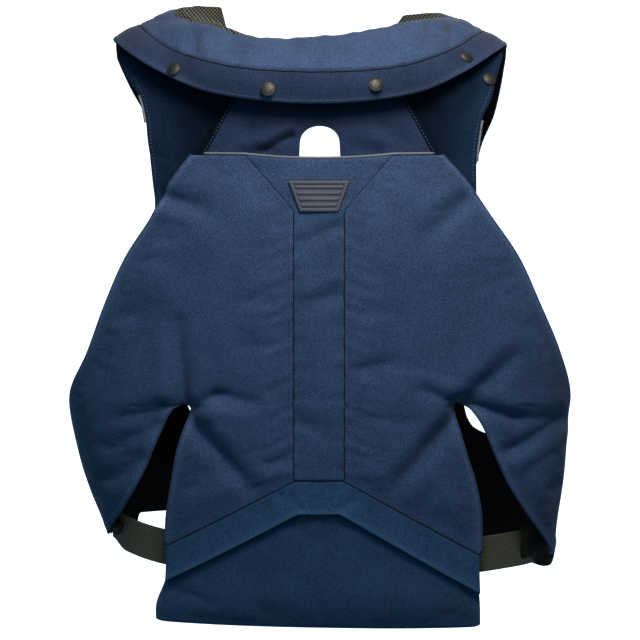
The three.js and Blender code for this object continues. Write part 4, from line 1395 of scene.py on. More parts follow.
@dataclass
class FrontPanel:
    """A strap down the chest that widens into a waist reaching round to the wing, and its black lining."""

    side: Side
    half_gap: float = 8.0
    vee_bottom: float = -214.0
    underarm: float = -412.0
    hem_middle: float = -524.0
    lining: float = 1.6
    shoulder_rows: int = 28
    chest_rows: int = 54
    waist_rows: int = 22
    columns: int = 22
    flank_columns: int = 36
    sizes: Table = Table(
        ("sign", "waist_top", "hem", "side_hem", "side_from", "dip"),
        ((-1, -424, -523, -538, 219, -40), (1, -421, -551, -564, 162, 25)),
    )
    edge: Table = Table(
        ("z", "left", "right"),
        (
            (-424, 138, 162), (-406, 138, 158), (-330, 142, 150), (-240, 148, 149), (-180, 158, 158),
            (-146, 168, 170), (-119, 177, 177), (-93, 185, 187), (-60, 200, 194), (-20, 215, 199),
        ),
    )

    def size(self, column: str) -> float:
        """This side's value of a column of sizes."""
        return float(self.sizes.at(self.side.value, column))

    def inner(self, z: Numbers) -> Array:
        """The neck's edge, then the edge along the zip."""
        top = shoulder_line(NECK_HALF)
        return lerp(self.half_gap, NECK_HALF, np.clip((z - self.vee_bottom) / (top - self.vee_bottom), 0, 1))

    def strap_edge(self) -> float:
        """The strap's outer edge where the waist starts."""
        return float(self.edge.at(self.size("waist_top"), self.side.word))

    def hem(self, x: Array) -> Array:
        """Height of the hem at a place across."""
        strap, side_hem = self.strap_edge(), self.size("side_hem")
        outer = smoothstep(x, self.size("side_from"), float(SECTIONS.at(side_hem, self.side.word)))
        inner = lerp(self.hem_middle, self.size("hem"), np.clip(x / strap, 0, 1))
        return lerp(inner, side_hem, outer)

    def over_shoulder(self, share: Array, v: Array) -> tuple[Array, Array, Array]:
        """Place across, height and distance to the edge, down from the top of the shoulder."""
        angle = (1 - v) * SHOULDER_TOP_ANGLE
        middle = (NECK_HALF + self.edge.at(SHOULDER_HEIGHT, self.side.word)) / 2
        nominal = climbed_height(middle, angle)
        outer = self.edge.at(nominal, self.side.word)
        x = lerp(self.inner(nominal), outer, share)
        z = climbed_height(x, angle) + corner_rise(x, angle, self.side)
        return x, z, np.minimum(outer - x, x - self.inner(nominal))

    def chest(self, share: Array, v: Array) -> tuple[Array, Array, Array]:
        """The same down the chest to the waist."""
        z = lerp(ROUND_START, self.size("waist_top"), v)
        outer = self.edge.at(z, self.side.word)
        x = lerp(self.inner(z), outer, share)
        return x, z, np.minimum(outer - x, x - self.inner(z))

    def waist(self, share: Array, v: Array) -> tuple[Array, Array, Array]:
        """The same below the strap, down to the hem."""
        x = lerp(self.half_gap, self.strap_edge(), share)
        z = lerp(self.size("waist_top"), self.hem(x), v)
        return x, z, np.minimum(z - self.hem(x), x - self.half_gap)

    def flank(self, share: Array, v: Array) -> tuple[Array, Array, Array]:
        """The same from the strap round to the wing, under the arm."""
        share = np.sin(share * math.pi / 2)
        dip = self.size("dip") * np.sqrt(np.sin(math.pi * np.clip(share, 0, 1)))
        top = lerp(self.size("waist_top"), self.underarm, share) - dip
        strap = self.strap_edge()
        near = lerp(strap, float(SECTIONS.at(self.underarm, self.side.word)), share)
        z = lerp(top, self.hem(near), v)
        return lerp(strap, SECTIONS.at(z, self.side.word), share), z, np.minimum(top - z, z - self.hem(near))

    def add_grids(self, panel: Panel, lift: float, thickness: float, with_strap: bool) -> None:
        """Adds the panel's grids.

        Args:
            panel: The panel that they go into.
            lift: How far outside the torso the cloth lies.
            thickness: The cloth's thickness.
            with_strap: Whether the strap is added, or only the waist.
        """
        grids = [
            (self.shoulder_rows, self.columns, self.over_shoulder),
            (self.chest_rows, self.columns, self.chest),
            (self.waist_rows, self.columns, self.waist),
            (self.waist_rows, self.flank_columns, self.flank),
        ]
        for rows, columns, place in grids if with_strap else grids[2:]:

            def cloth(u: Array, v: Array) -> Cloth:
                """The cloth of one grid."""
                x, z, edge = place(self.side.outward(u, Face.FRONT), v)
                points = torso(self.side.value * x, z, Face.FRONT)
                points[..., 1] = np.maximum(points[..., 1], SEAM_GAP / 2)
                return Cloth(points, thickness, edge, lift)

            panel.add(rows, columns, cloth)

    def build(self) -> Piece:
        """Builds and dresses the panel and its lining."""
        lining = Panel(f"front_lining_{self.side.word}", "knit")
        self.add_grids(lining, -(CLOTH + self.lining) / 2 - LAYER_GAP, self.lining, False)
        lining.sheet(LINING)
        panel = Panel(f"front_panel_{self.side.word}", "cloth")
        self.add_grids(panel, 0.0, CLOTH, True)
        return panel.sheet(NAVY, LINING)


# Collar


@dataclass
class Collar:
    """A padded roll from the rim to the band's seam, the band below it and a mesh lining inside."""

    edge: float = 5.0
    full: float = 17.0
    band: float = 3.0
    net: float = 3.0
    roll_bulge: float = 8.0
    band_bulge: float = 2.0
    roll_power: float = 0.7
    roll_end: float = 1 / 12
    lining_rise: float = 4.0
    seam_depth: float = 2.2
    seam_width: float = 2.6
    flatten: float = 0.45
    tuck: float = 1.6
    lean: float = 16.0
    level: float = 0.5
    lean_full: float = 105.0
    lean_none: float = 165.0
    side_bulge: float = 0.4
    side_lift: float = 2.5
    side_flare: float = 2.0
    side_from: float = 0.24
    side_full: float = 0.55
    net_fold: float = 0.135
    net_from: float = -170.0
    net_narrow: float = -100.0
    net_to: float = -62.0
    net_taper: float = 0.5
    settle: Settle = Settle(pressure=0.6, slack=0.02, cap=1.6, pinned=5.0)
    moves: tuple[tuple[str, int, float, float, float], ...] = (
        ("rim", 0, 4.0, 0, 9.6), ("rim", 1, 0, 0, 8.2), ("rim", 2, 0, 0, 2.5), ("rim", 4, 0, 0, 3.5),
        ("rim", 6, 0, 0, 1.5), ("rim", 7, 0, 0, 9.0), ("rim", 8, 0, 0, 7.5), ("rim", 9, 0, 0, 2.0),
        ("rim", 10, 0, 0, -5.0), ("rim", 11, 0, 0, 1.5), ("rim", 12, -9.0, 4.0, 0.5), ("seam", 9, 0, 0, -1.5),
        ("seam", 10, 0, 0, -6.0), ("seam", 11, 0, 0, -4.0), ("edge", 9, 0, 0, -1.0), ("edge", 10, 0, 0, -5.0),
        ("edge", 11, 0, 0, -4.0),
    )
    left_tuck: float = 6.0
    right_tuck: float = 16.0
    tuck_reach: float = 0.07
    nape: tuple[float, ...] = (-0.7, 0.0, 0.7)
    behind: float = -4.0
    before: float = -12.0
    dents: Rows = (
        (24, 0.45, 7, 0.4, 4.5), (112, 0.4, 6, 0.3, 7.0), (136, 0.65, 6, 0.3, 6.0), (-30, 0.5, 10, 0.4, 2.4),
        (-128, 0.8, 8, 0.3, 6.0), (-82, 0.55, 12, 0.3, 2.5), (-60, 0.95, 22, 0.2, 1.5),
        (70, 0.9, 22, 0.2, 1.5),
    )
    roll_pucker: float = 1.2
    waves: tuple[Triple, ...] = ((0.9, 17.0, 0.6), (0.7, 9.3, 2.0))
    wave_reach: float = 0.8
    roll_rows: int = 14
    band_rows: int = 8
    columns: int = 170
    net_rows: int = 12
    net_columns: int = 130
    reaches: Table = Table(("sign", "reach"), ((-1, 1.045), (1, 0.955)))
    stations: Rows = (
        (0, -86, -4, 0, -126, -39, 0, -134, -69), (62, -76, -4, 92, -112, -34, 106, -119, -58),
        (100, -52, 5, 140, -80, -20, 158, -86, -39), (128, -25, 13, 166, -42, -6, 189, -46, -23),
        (139, 6, 18, 180, 4, 4, 206, 3, -12), (131, 34, 17, 174, 46, -4, 199, 50, -24),
        (104, 56, 15, 146, 78, -25, 169, 84, -50),
    )
    rails: tuple[str, ...] = ("rim", "seam", "edge")

    def rail(self, name: str, along: Numbers) -> Array:
        """Points of a rail, from the left front end at 0 round the nape to the right end at 1."""
        first = 3 * self.rails.index(name)
        right = np.array(self.stations)[:, first : first + 3]
        left = right[:0:-1] * (-self.reaches.at(-1, "reach"), 1, 1)
        points = np.concatenate([left, right * (self.reaches.at(1, "reach"), 1, 1)])
        for moved, station, *move in self.moves:
            if moved == name:
                points[station] += move
        return smooth_path(points, along, 0.5)

    def between(self, upper: str, lower: str, along: Numbers, across: Numbers, bulge: Numbers) -> Array:
        """Points on the cloth between two rails, bowed out from the straight line."""
        share = np.asarray(across, float)[..., None]
        bow = np.asarray(bulge, float)[..., None] * np.sin(math.pi * share) * (1 - self.flatten * share)
        flat = lerp(self.rail(upper, along), self.rail(lower, along), share)
        return flat + self.outward(upper, lower, along) * bow

    def outward(self, upper: str, lower: str, along: Numbers) -> Array:
        """The way that the cloth between two rails faces."""
        step = 0.002
        tangent = self.rail(upper, along + step) - self.rail(upper, along - step)
        return unit(np.cross(tangent, self.rail(upper, along) - self.rail(lower, along)))

    def band_line(self, down: float, start: float = 0.03) -> Array:
        """A line along the band's outside at a share of the way down it."""
        along = np.linspace(start, 1 - start, 300)
        cloth = self.band_cloth(along, np.full(along.shape, down))
        return cloth.points + self.outward("seam", "edge", along) * (cloth.lift + self.band / 2)[:, None]

    def flank(self, along: Numbers) -> Array:
        """How much of a place along the collar counts as its side, from 0 at the back to 1."""
        return smoothstep(np.abs(2 * np.asarray(along, float) - 1), self.side_from, self.side_full)

    def tilt(self, x: Array) -> Array:
        """How far the cloth leans at a place across: most at the back, not at all at the sides."""
        return self.lean * (1 - smoothstep(np.abs(x), self.lean_full, self.lean_none))

    def on_band(self, along: Numbers, across: Numbers) -> Array:
        """Points on the band's middle surface."""
        return self.between("seam", "edge", along, across, self.band_bulge)

    def along_at(self, x: float, across: float) -> float:
        """How far along the collar's back the band reaches a place across."""
        along = np.linspace(0.1, 0.9, 400)
        return float(np.interp(x, self.on_band(along, np.full(400, across))[:, 0], along))

    def roll_cloth(self, u: Array, v: Array) -> Cloth:
        """The roll's middle surface, with the seam down its centre and soft dents."""
        flank = self.flank(u)
        points = self.between("rim", "seam", u, v, self.roll_bulge * lerp(1, self.side_bulge, flank))
        ends = np.minimum(1, np.minimum(u, 1 - u) / self.roll_end)
        thickness = lerp(self.edge, self.full, np.sin(math.pi * np.clip(v, 0, 1)) ** self.roll_power * ends)
        x = points[..., 0]
        groove = self.seam_depth * np.exp(-((x / self.seam_width) ** 2))
        dents = sum(
            depth * np.exp(-(((x - at) / wide) ** 2) - ((v - down) / tall) ** 2)
            for at, down, wide, tall, depth in self.dents
        )
        wide = np.linalg.norm(self.rail("rim", u) - self.rail("seam", u), axis=-1)
        seam = np.minimum(v, 1 - v) * wide
        lift = (self.edge - thickness) / 2 - groove * np.sin(math.pi * np.clip(v, 0, 1)) - dents
        lift += (self.tilt(x) * self.level + self.side_lift * flank) * v**2
        return Cloth(points, thickness, SEWN, lift + pucker(seam, x) * self.roll_pucker)

    def band_cloth(self, u: Array, v: Array) -> Cloth:
        """The band's middle surface, with soft waves along its free edge."""
        wide = np.linalg.norm(self.rail("seam", u) - self.rail("edge", u), axis=-1)
        across = lerp(-self.tuck / wide, 1, v)
        points = self.on_band(u, across)
        x = points[..., 0]
        wave = sum(height * np.sin(x / length + shift) for height, length, shift in self.waves)
        lift = wave * np.sin(math.pi * np.clip(across, 0, 1) * self.wave_reach) + pucker(across * wide, x)
        lift += self.tilt(x) * (self.level - across)
        lift += self.flank(u) * (self.side_lift + self.side_flare * across)
        return Cloth(points, self.band, (1 - across) * wide, lift)

    def neck_line(self, along: Array) -> Array:
        """The neck's edge of the yoke, shoulder panels and front panels."""
        sides = [
            torso(neck_edge(self.behind), self.behind, Face.BACK),
            torso(NECK_HALF, shoulder_line(NECK_HALF), Face.BACK) - (0, 0, NECK_DROP),
            torso(FrontPanel(Side.RIGHT).inner(self.before), self.before, Face.FRONT),
        ]
        nape = [torso(share * NECK_HALF_BEHIND, NECK_HEIGHT_BEHIND, Face.BACK) for share in self.nape]
        mirrored = [point * (-1, 1, 1) for point in reversed(sides)]
        return smooth_path(np.array(mirrored + nape + sides), along, 0.5)

    def lining_cloth(self, u: Array, v: Array) -> Cloth:
        """The mesh from inside the rim down to the neck's edge."""
        base = self.neck_line(u)
        base[..., 2] += CLOTH + LAYER_GAP + self.lining_rise * (2 * u - 1) ** 2
        base[..., 0] -= self.right_tuck * smoothstep(u, 1 - self.tuck_reach, 1.0)
        base[..., 0] -= self.left_tuck * smoothstep(u, self.tuck_reach, 0.0)
        return Cloth(lerp(self.rail("rim", u), base, v[..., None]), self.net, SEWN)

    def fold_net(self, roll: Panel) -> None:
        """Gives the mesh's finish to the faces where the lining is folded over the left rim."""
        depth = -min(loop[roll.uv].uv.y for face in roll.mesh.faces for loop in face.loops)
        for face in roll.mesh.faces:
            x = face.calc_center_median().x / MM
            down = -sum(loop[roll.uv].uv.y for loop in face.loops) / len(face.loops) / depth
            narrow = smoothstep(x, self.net_narrow, self.net_to)
            if self.net_from < x < self.net_to and down < self.net_fold * (1 - self.net_taper * narrow):
                face.material_index = 1

    def build(self) -> list[Piece]:
        """Builds and dresses the roll, the band and the lining."""
        roll = Panel("collar_roll", "padded").add(self.roll_rows, self.columns, self.roll_cloth)
        self.fold_net(roll)
        roll_piece = roll.build(NAVY, NET, self.settle)
        roll_piece.data.materials.append(NET.material())
        band = Panel("collar_band", "cloth").add(self.band_rows, self.columns, self.band_cloth)
        # The band's cloth has painted shade.
        band_piece = band.sheet(SHADED_BAND_NAVY)
        lining = Panel("collar_lining", "net").add(self.net_rows, self.net_columns, self.lining_cloth)
        return [roll_piece, band_piece, lining.sheet(NET)]


COLLAR = Collar()


# Trim


def travelling_frames(points: Array, up: Array) -> Array:
    """Frames along a path.

    Args:
        points: The path, one row for each point.
        up: The direction that each frame's third axis leans to.

    Returns:
        For each point three rows: along, sideways and up.
    """
    along = unit(np.gradient(points, axis=0))
    sideways = unit(np.cross(np.broadcast_to(up, along.shape), along))
    return np.stack([along, sideways, np.cross(along, sideways)], axis=1)


def resample(points: Array, step: float) -> Array:
    """A path's points at even steps along it.

    Args:
        points: The path.
        step: Distance between the new points.

    Returns:
        The new points, with both ends kept.
    """
    length = travelled(points)
    places = np.linspace(0, length[-1], max(3, round(length[-1] / step) + 1))
    return np.stack([np.interp(places, length, points[:, axis]) for axis in range(3)], axis=-1)


def nearest(piece: Piece, line: Array, step: float) -> tuple[Array, Array]:
    """A line's points moved to the nearest cloth.

    Args:
        piece: The finished cloth.
        line: Points close to it.
        step: Distance between the new points.

    Returns:
        The new points and the way that the cloth faces at each.
    """
    surface = BVHTree.FromObject(piece, bpy.context.evaluated_depsgraph_get())
    found = [surface.find_nearest(Vector(point * MM)) for point in resample(line, step)]
    return np.array([hit[0] for hit in found]) / MM, np.array([hit[1] for hit in found])


TUBE_UP = np.array([0.3, -1.0, 0.2])


def tube(
    name: str, points: Array, radius: float, finish: Finish, node: str | None, sides: int = 10
) -> Piece:
    """A round bead along a path, closed at both ends.

    Args:
        name: The piece's name.
        points: The path in millimetres.
        radius: The bead's radius.
        finish: Its finish.
        node: The CAD node that it stands for, if any.
        sides: Faces round the bead.

    Returns:
        The finished piece.
    """
    frames = travelling_frames(points, TUBE_UP)
    mesh = bmesh.new()
    uv = mesh.loops.layers.uv.new(UV_NAME)
    made = bmesh.ops.create_grid(mesh, x_segments=sides, y_segments=len(points) - 1, size=0.5)["verts"]
    for vert in made:
        turn = (vert.co.x + 0.5) * 2 * math.pi
        row = round((vert.co.y + 0.5) * (len(points) - 1))
        out = math.cos(turn) * frames[row, 1] + math.sin(turn) * frames[row, 2]
        vert.co = (points[row] + out * radius) * MM
        for loop in vert.link_loops:
            loop[uv].uv = (turn * radius * MM, row * radius * MM)
    bmesh.ops.remove_doubles(mesh, verts=mesh.verts[:], dist=MERGE * MM)
    bmesh.ops.holes_fill(mesh, edges=[edge for edge in mesh.edges if edge.is_boundary], sides=0)
    bmesh.ops.recalc_face_normals(mesh, faces=mesh.faces[:])
    piece = write_object(name, mesh)
    settle_in(piece, node, finish)
    return piece


@dataclass
class Pipings:
    """Grey reflective beads along the top of the back and on the shoulders' edges."""

    radius: float = 1.35
    outward: float = 1.0
    step: float = 2.0
    back_steps: int = 90
    shoulder_steps: int = 30
    shoulder: Table = Table(("sign", "top", "bottom"), ((-1, -64, -91), (1, -89, -131)))

    def back_line(self) -> Array:
        """The line along the back's top edge."""
        half = YOKE.seam(SPINE.back_top)
        x = np.linspace(-half, half, self.back_steps)
        dip = SPINE.dip * np.maximum(0, 1 - (x / SPINE.shield_half) ** 2)
        points = torso(x, SPINE.back_top - dip, Face.BACK)
        return points + (0, 0, self.radius + LAYER_GAP)

    def shoulder_line(self, side: Side) -> Array:
        """The line along a shoulder panel's outer edge."""
        top, bottom = (self.shoulder.at(side.value, end) for end in ("top", "bottom"))
        z = np.linspace(top, bottom, self.shoulder_steps)
        x = side.value * SHOULDER_EDGE.at(z, side.word)
        return outer_surface(x, z, YOKE.under(z) + CLOTH / 2)

    def build(self, shoulders: dict[Side, Piece]) -> list[Piece]:
        """Builds and dresses the three beads, the outer two on the shoulders' cloth."""
        pieces = [tube("back_piping_bead", self.back_line(), self.radius, PIPING, "back_piping")]
        for side in Side:
            name = f"shoulder_piping_{side.word}"
            seats, ups = nearest(shoulders[side], self.shoulder_line(side), self.step)
            pieces.append(tube(f"{name}_bead", seats + ups * self.outward, self.radius, PIPING, name))
        return pieces


@dataclass
class Snaps:
    """Press stud caps: a rolled rim round a low dome."""

    radius: float = 7.2
    height: float = 3.2
    steps: int = 40
    bead: float = 0.8
    spring: float = 1.2
    foot_inset: float = 1.4
    dome_inset: float = 1.3
    rim_turn: tuple[float, float, int] = (-0.4 * math.pi, 0.62 * math.pi, 8)
    dome_turn: tuple[float, float, int] = (0.1 * math.pi, 0.5 * math.pi, 9)
    band: tuple[Triple, ...] = ((1, -149, 0.68), (2, -52, 0.62), (3, 58, 0.5), (4, 152, 0.52))
    shoulder: Pair = (178.0, -47.0)

    def profile(self) -> list[Pair]:
        """Half the cap's section, from its foot to the middle of the dome."""
        bead, spring = self.bead, self.spring
        outer = [
            (self.radius - bead + bead * math.cos(turn), bead + bead * math.sin(turn))
            for turn in np.linspace(*self.rim_turn)
        ]
        dome_radius = self.radius - self.dome_inset * bead
        dome = [
            (dome_radius * math.cos(turn), spring + (self.height - spring) * math.sin(turn))
            for turn in np.linspace(*self.dome_turn)
        ]
        return [(0.0, 0.0), (self.radius - self.foot_inset, 0.0), *outer, *dome[:-1], (0.0, self.height)]

    def add(self, node: str, foot: Array, outward: Array) -> Piece:
        """Adds a cap.

        Args:
            node: The CAD node that it stands for.
            foot: Where it sits, in millimetres.
            outward: The way it faces.

        Returns:
            The finished cap.
        """
        mesh = bmesh.new()
        verts = [mesh.verts.new((across * MM, 0, up * MM)) for across, up in self.profile()]
        edges = [mesh.edges.new(pair) for pair in zip(verts, verts[1:])]
        turn = {"axis": (0, 0, 1), "cent": (0, 0, 0), "angle": 2 * math.pi, "steps": self.steps}
        bmesh.ops.spin(mesh, geom=verts + edges, use_merge=True, **turn)
        bmesh.ops.remove_doubles(mesh, verts=mesh.verts[:], dist=MERGE * MM)
        bmesh.ops.recalc_face_normals(mesh, faces=mesh.faces[:])
        facing = Vector(outward).to_track_quat("Z", "Y").to_matrix().to_4x4()
        bmesh.ops.transform(mesh, matrix=Matrix.Translation(Vector(foot * MM)) @ facing, verts=mesh.verts[:])
        piece = write_object(f"{node}_cap", mesh)
        settle_in(piece, node, STUD)
        return piece

    def build(self) -> list[Piece]:
        """Builds and dresses the caps on the band and the one on the shoulder."""
        pieces = []
        stand = COLLAR.band / 2 + LAYER_GAP
        step = 0.01
        for number, x, across in self.band:
            along = COLLAR.along_at(x, across)
            here = COLLAR.on_band(along, across)
            sideways = COLLAR.on_band(along + step, across) - COLLAR.on_band(along - step, across)
            down = COLLAR.on_band(along, across + step) - COLLAR.on_band(along, across - step)
            outward = unit(np.cross(down, sideways))
            pieces.append(self.add(f"collar_snap_{number}", here + outward * stand, outward))
        x, z = (np.array([value]) for value in self.shoulder)
        foot = outer_surface(x, z, YOKE.under(z) + stand)[0]
        outward = foot - outer_surface(x, z, YOKE.under(z))[0]
        pieces.append(self.add("shoulder_snap", foot, unit(outward)))
        return pieces


@dataclass
class Badge:
    """A plain moulded patch with a raised border and level ribs, bent to the shield that it is sewn to."""

    top: float = -150.0
    bottom: float = -181.0
    top_half: float = 31.0
    bottom_half: float = 19.5
    thickness: float = 2.0
    rib: float = 1.2
    border: float = 2.4
    soft: float = 0.8
    gap: float = 1.4
    rib_edge: Pair = (0.1, 0.6)
    outer_edge: Pair = (-0.1, 0.7)
    line_step: float = 2.0
    ribs: int = 5
    rows: int = 62
    columns: int = 90

    def cloth(self, u: Array, v: Array) -> Cloth:
        """The patch's middle surface and its thickness."""
        z = lerp(self.top, self.bottom, v)
        half = lerp(self.top_half, self.bottom_half, v)
        points = torso((2 * u - 1) * half, z, Face.BACK)
        tall = self.top - self.bottom
        inside = np.minimum.reduce([half * (1 - np.abs(2 * u - 1)), v * tall, (1 - v) * tall])
        border = 1 - smoothstep(inside, self.border, self.border + self.soft)
        comb = smoothstep(np.cos(v * self.ribs * 2 * math.pi), *self.rib_edge)
        field = comb * smoothstep(inside, self.border + self.gap, self.border + self.gap + self.soft)
        bead = np.maximum(border, field) * smoothstep(inside, *self.outer_edge)
        height = self.thickness + self.rib * bead
        seam = SPINE.half(z) - np.abs(points[..., 0])
        seat = padding(seam) / 2 + LAYER_GAP
        return Cloth(points, height, SEWN, seat + height / 2)

    def build(self) -> Piece:
        """Builds and dresses the patch."""
        return Panel("badge", "patch").add(self.rows, self.columns, self.cloth).build(RUBBER)

    def outline(self, away: float) -> Array:
        """The line of stitches round the patch."""
        wide, narrow = self.top_half + away, self.bottom_half + away
        top, bottom = self.top + away, self.bottom - away
        corners = (-wide, 0, top), (wide, 0, top), (narrow, 0, bottom), (-narrow, 0, bottom), (-wide, 0, top)
        x, _, z = resample(np.array(corners), self.line_step).T
        return outer_surface(x, z, padding(SPINE.half(z) - np.abs(x)) / 2)


@dataclass
class SideStrap:
    """Elastic webbing across the slit's foot, from inside the tail to inside the front panel."""

    side: Side
    width: float = 38.0
    thickness: float = 2.0
    left: tuple[Triple, ...] = (
        (126, -67, -546), (156, -62, -542), (184, -47, -537), (206, -24, -532), (221, 6, -530),
    )
    right: tuple[Triple, ...] = (
        (130, -69.5, -552), (162, -64, -549.5), (194, -48, -547.5), (222, -26, -546), (238.5, 6, -545),
    )
    selvedge: float = 0.5
    selvedge_reach: float = 2.5
    tuck_from: float = 0.72
    tucks: Table = Table(("sign", "share"), ((-1, 0.45), (1, 0.0)))
    corner_top: float = -522.0
    corner_wave: float = 2.2
    corner_turns: tuple[float, ...] = (9.0, 5.0, 4.0, 0.5)
    corner_lean: float = 14.0
    corner_cells: int = 20
    rows: int = 24
    columns: int = 60
    corners: Table = Table(
        ("share", "left_x", "left_y", "left_z", "right_x", "right_y", "right_z"),
        (
            (0.0, 209, -24, -537, 214, -42, -562), (0.3, 216, -13, -538, 224, -33, -565),
            (0.65, 224, 2, -536, 242, -12, -571), (0.85, 226, 6, -534, 251, 0, -569),
            (1.0, 227, 9, -530, 255, 6, -557),
        ),
    )

    def path(self, along: Array) -> Array:
        """Points on the strap's centre line."""
        points = self.left if self.side is Side.LEFT else self.right
        return smooth_path(np.array(points) * (self.side.value, 1, 1), along)

    def cloth(self, u: Array, v: Array) -> Cloth:
        """The webbing's middle surface, with thicker selvedges."""
        outward = self.side.outward(u)
        points = self.path(outward)
        tuck = 1 - self.tucks.at(self.side.value, "share") * smoothstep(outward, self.tuck_from, 1.0)
        points[..., 2] += np.where(v > 0.5, (0.5 - v) * tuck, 0.5 - v) * self.width
        selvedge = np.exp(-((np.minimum(v, 1 - v) * self.width / self.selvedge_reach) ** 2))
        return Cloth(points, self.thickness + self.selvedge * selvedge, SEWN)

    def corner_cloth(self, u: Array, v: Array) -> Cloth:
        """The lining's crumpled corner, which the strap's end is sewn into."""
        outward = self.side.outward(u)
        x, y, foot = (self.corners.at(outward, f"{self.side.word}_{axis}") for axis in "xyz")
        y = y + self.corner_lean * v**3
        points = np.stack([self.side.value * x, y, lerp(self.corner_top, foot, v)], axis=-1)
        across, down, deep, shift = self.corner_turns
        wave = self.corner_wave * np.sin(across * u + down * v) * np.sin(deep * v + shift)
        return Cloth(points, 2 * self.thickness / 3, SEWN, wave)

    def build(self) -> list[Piece]:
        """Builds and dresses the strap and the lining's corner over its end."""
        panel = Panel(f"side_strap_{self.side.word}", "webbing").add(self.rows, self.columns, self.cloth)
        corner = Panel(f"lining_corner_{self.side.word}", "knit", stands=False)
        corner.add(self.corner_cells, self.corner_cells, self.corner_cloth)
        return [panel.sheet(WEBBING), corner.sheet(LINING)]


def soften(mesh: bmesh.types.BMesh, offset: float, segments: int) -> None:
    """Rounds every edge of a working mesh by an offset in the mesh's own unit."""
    rounding = {"offset": offset, "segments": segments, "profile": 0.5, "material": -1}
    bmesh.ops.bevel(mesh, geom=mesh.edges[:], affect="EDGES", **rounding)


@dataclass
class FrontZip:
    """The closing strip: a woven tape, two rows of moulded teeth and a slider."""

    width: float = 15.0
    drop: float = 6.0
    pitch: float = 3.0
    tooth: Triple = (3.2, 1.6, 1.4)
    tooth_round: float = 0.15
    tooth_stand: float = 0.5
    row_half: float = 1.2
    slider: Triple = (9.0, 4.0, 12.0)
    slider_round: float = 0.7
    slider_stand: float = 2.2
    slider_step: int = 3
    pull: Triple = (5.0, 1.6, 26.0)
    pull_place: Triple = (0.0, 2.8, -14.0)
    steps: int = 120
    rows: int = 90
    columns: int = 6

    def line(self, x: float, above: float) -> Array:
        """A line down the zip at a place across."""
        front = FrontPanel(Side.RIGHT)
        z = np.linspace(front.vee_bottom - self.drop, front.hem_middle, self.steps)
        return outer_surface(np.full(z.shape, x), z, np.full(z.shape, above), Face.FRONT)

    def cloth(self, u: Array, v: Array) -> Cloth:
        """The tape's middle surface."""
        front = FrontPanel(Side.RIGHT)
        z = lerp(front.vee_bottom - self.drop, front.hem_middle, v)
        return Cloth(torso((0.5 - u) * self.width, z, Face.FRONT), CLOTH, SEWN)

    def build(self) -> list[Piece]:
        """Builds and dresses the tape, the teeth and the slider."""
        piece = Panel("front_zip", "tape").add(self.rows, self.columns, self.cloth).build(LINING)
        template = bmesh.new()
        bmesh.ops.create_cube(template, size=1.0)
        soften(template, self.tooth_round, 1)
        frames = []
        for row, x in enumerate((-self.row_half, self.row_half)):
            points = resample(self.line(x, CLOTH / 2 + self.tooth_stand), self.pitch)
            axes = travelling_frames(points, np.array([0, 1.0, 0]))
            frames.append((points + (0, 0, row * self.pitch / 2), axes))
        teeth = scatter("front_zip_teeth", template, frames, self.tooth[::-1], TEETH)
        slider = bmesh.new()
        top = self.line(0.0, CLOTH / 2 + self.slider_stand)[self.slider_step]
        for size, place in ((self.slider, (0, 0, 0)), (self.pull, self.pull_place)):
            cube = bmesh.ops.create_cube(slider, size=1.0)["verts"]
            bmesh.ops.scale(slider, vec=Vector(size) * MM, verts=cube)
            bmesh.ops.translate(slider, vec=Vector(place) * MM, verts=cube)
        soften(slider, self.slider_round * MM, 2)
        bmesh.ops.translate(slider, vec=Vector(top * MM), verts=slider.verts[:])
        puller = write_object("front_zip_slider", slider)
        settle_in(puller, None, STUD)
        return [piece, teeth, puller]


def scatter(
    name: str,
    template: bmesh.types.BMesh,
    runs: Iterable[tuple[Array, Array]],
    size: Sequence[float],
    finish: Finish,
) -> Piece:
    """Copies of one small shape along lines, joined in one mesh.

    Args:
        name: The piece's name.
        template: The shape, about one unit long, which is freed.
        runs: For each line its points and frames.
        size: The copies' size along, sideways and up, in millimetres.
        finish: Their finish.

    Returns:
        The finished piece.
    """
    shape = np.array([vert.co for vert in template.verts]) * size
    template.verts.index_update()
    faces = [[vert.index for vert in face.verts] for face in template.faces]
    template.free()
    points = np.concatenate([run[0] for run in runs])
    axes = np.concatenate([run[1] for run in runs])
    verts = (points[:, None, :] + np.einsum("vk,nkc->nvc", shape, axes)).reshape(-1, 3) * MM
    count = len(shape)
    data = bpy.data.meshes.new(name)
    copies = [[index + copy * count for index in face] for copy in range(len(points)) for face in faces]
    data.from_pydata(verts.tolist(), [], copies)
    data.shade_smooth()
    data.uv_layers.new(name=UV_NAME)
    piece = add_object(name, data)
    settle_in(piece, None, finish)
    return piece


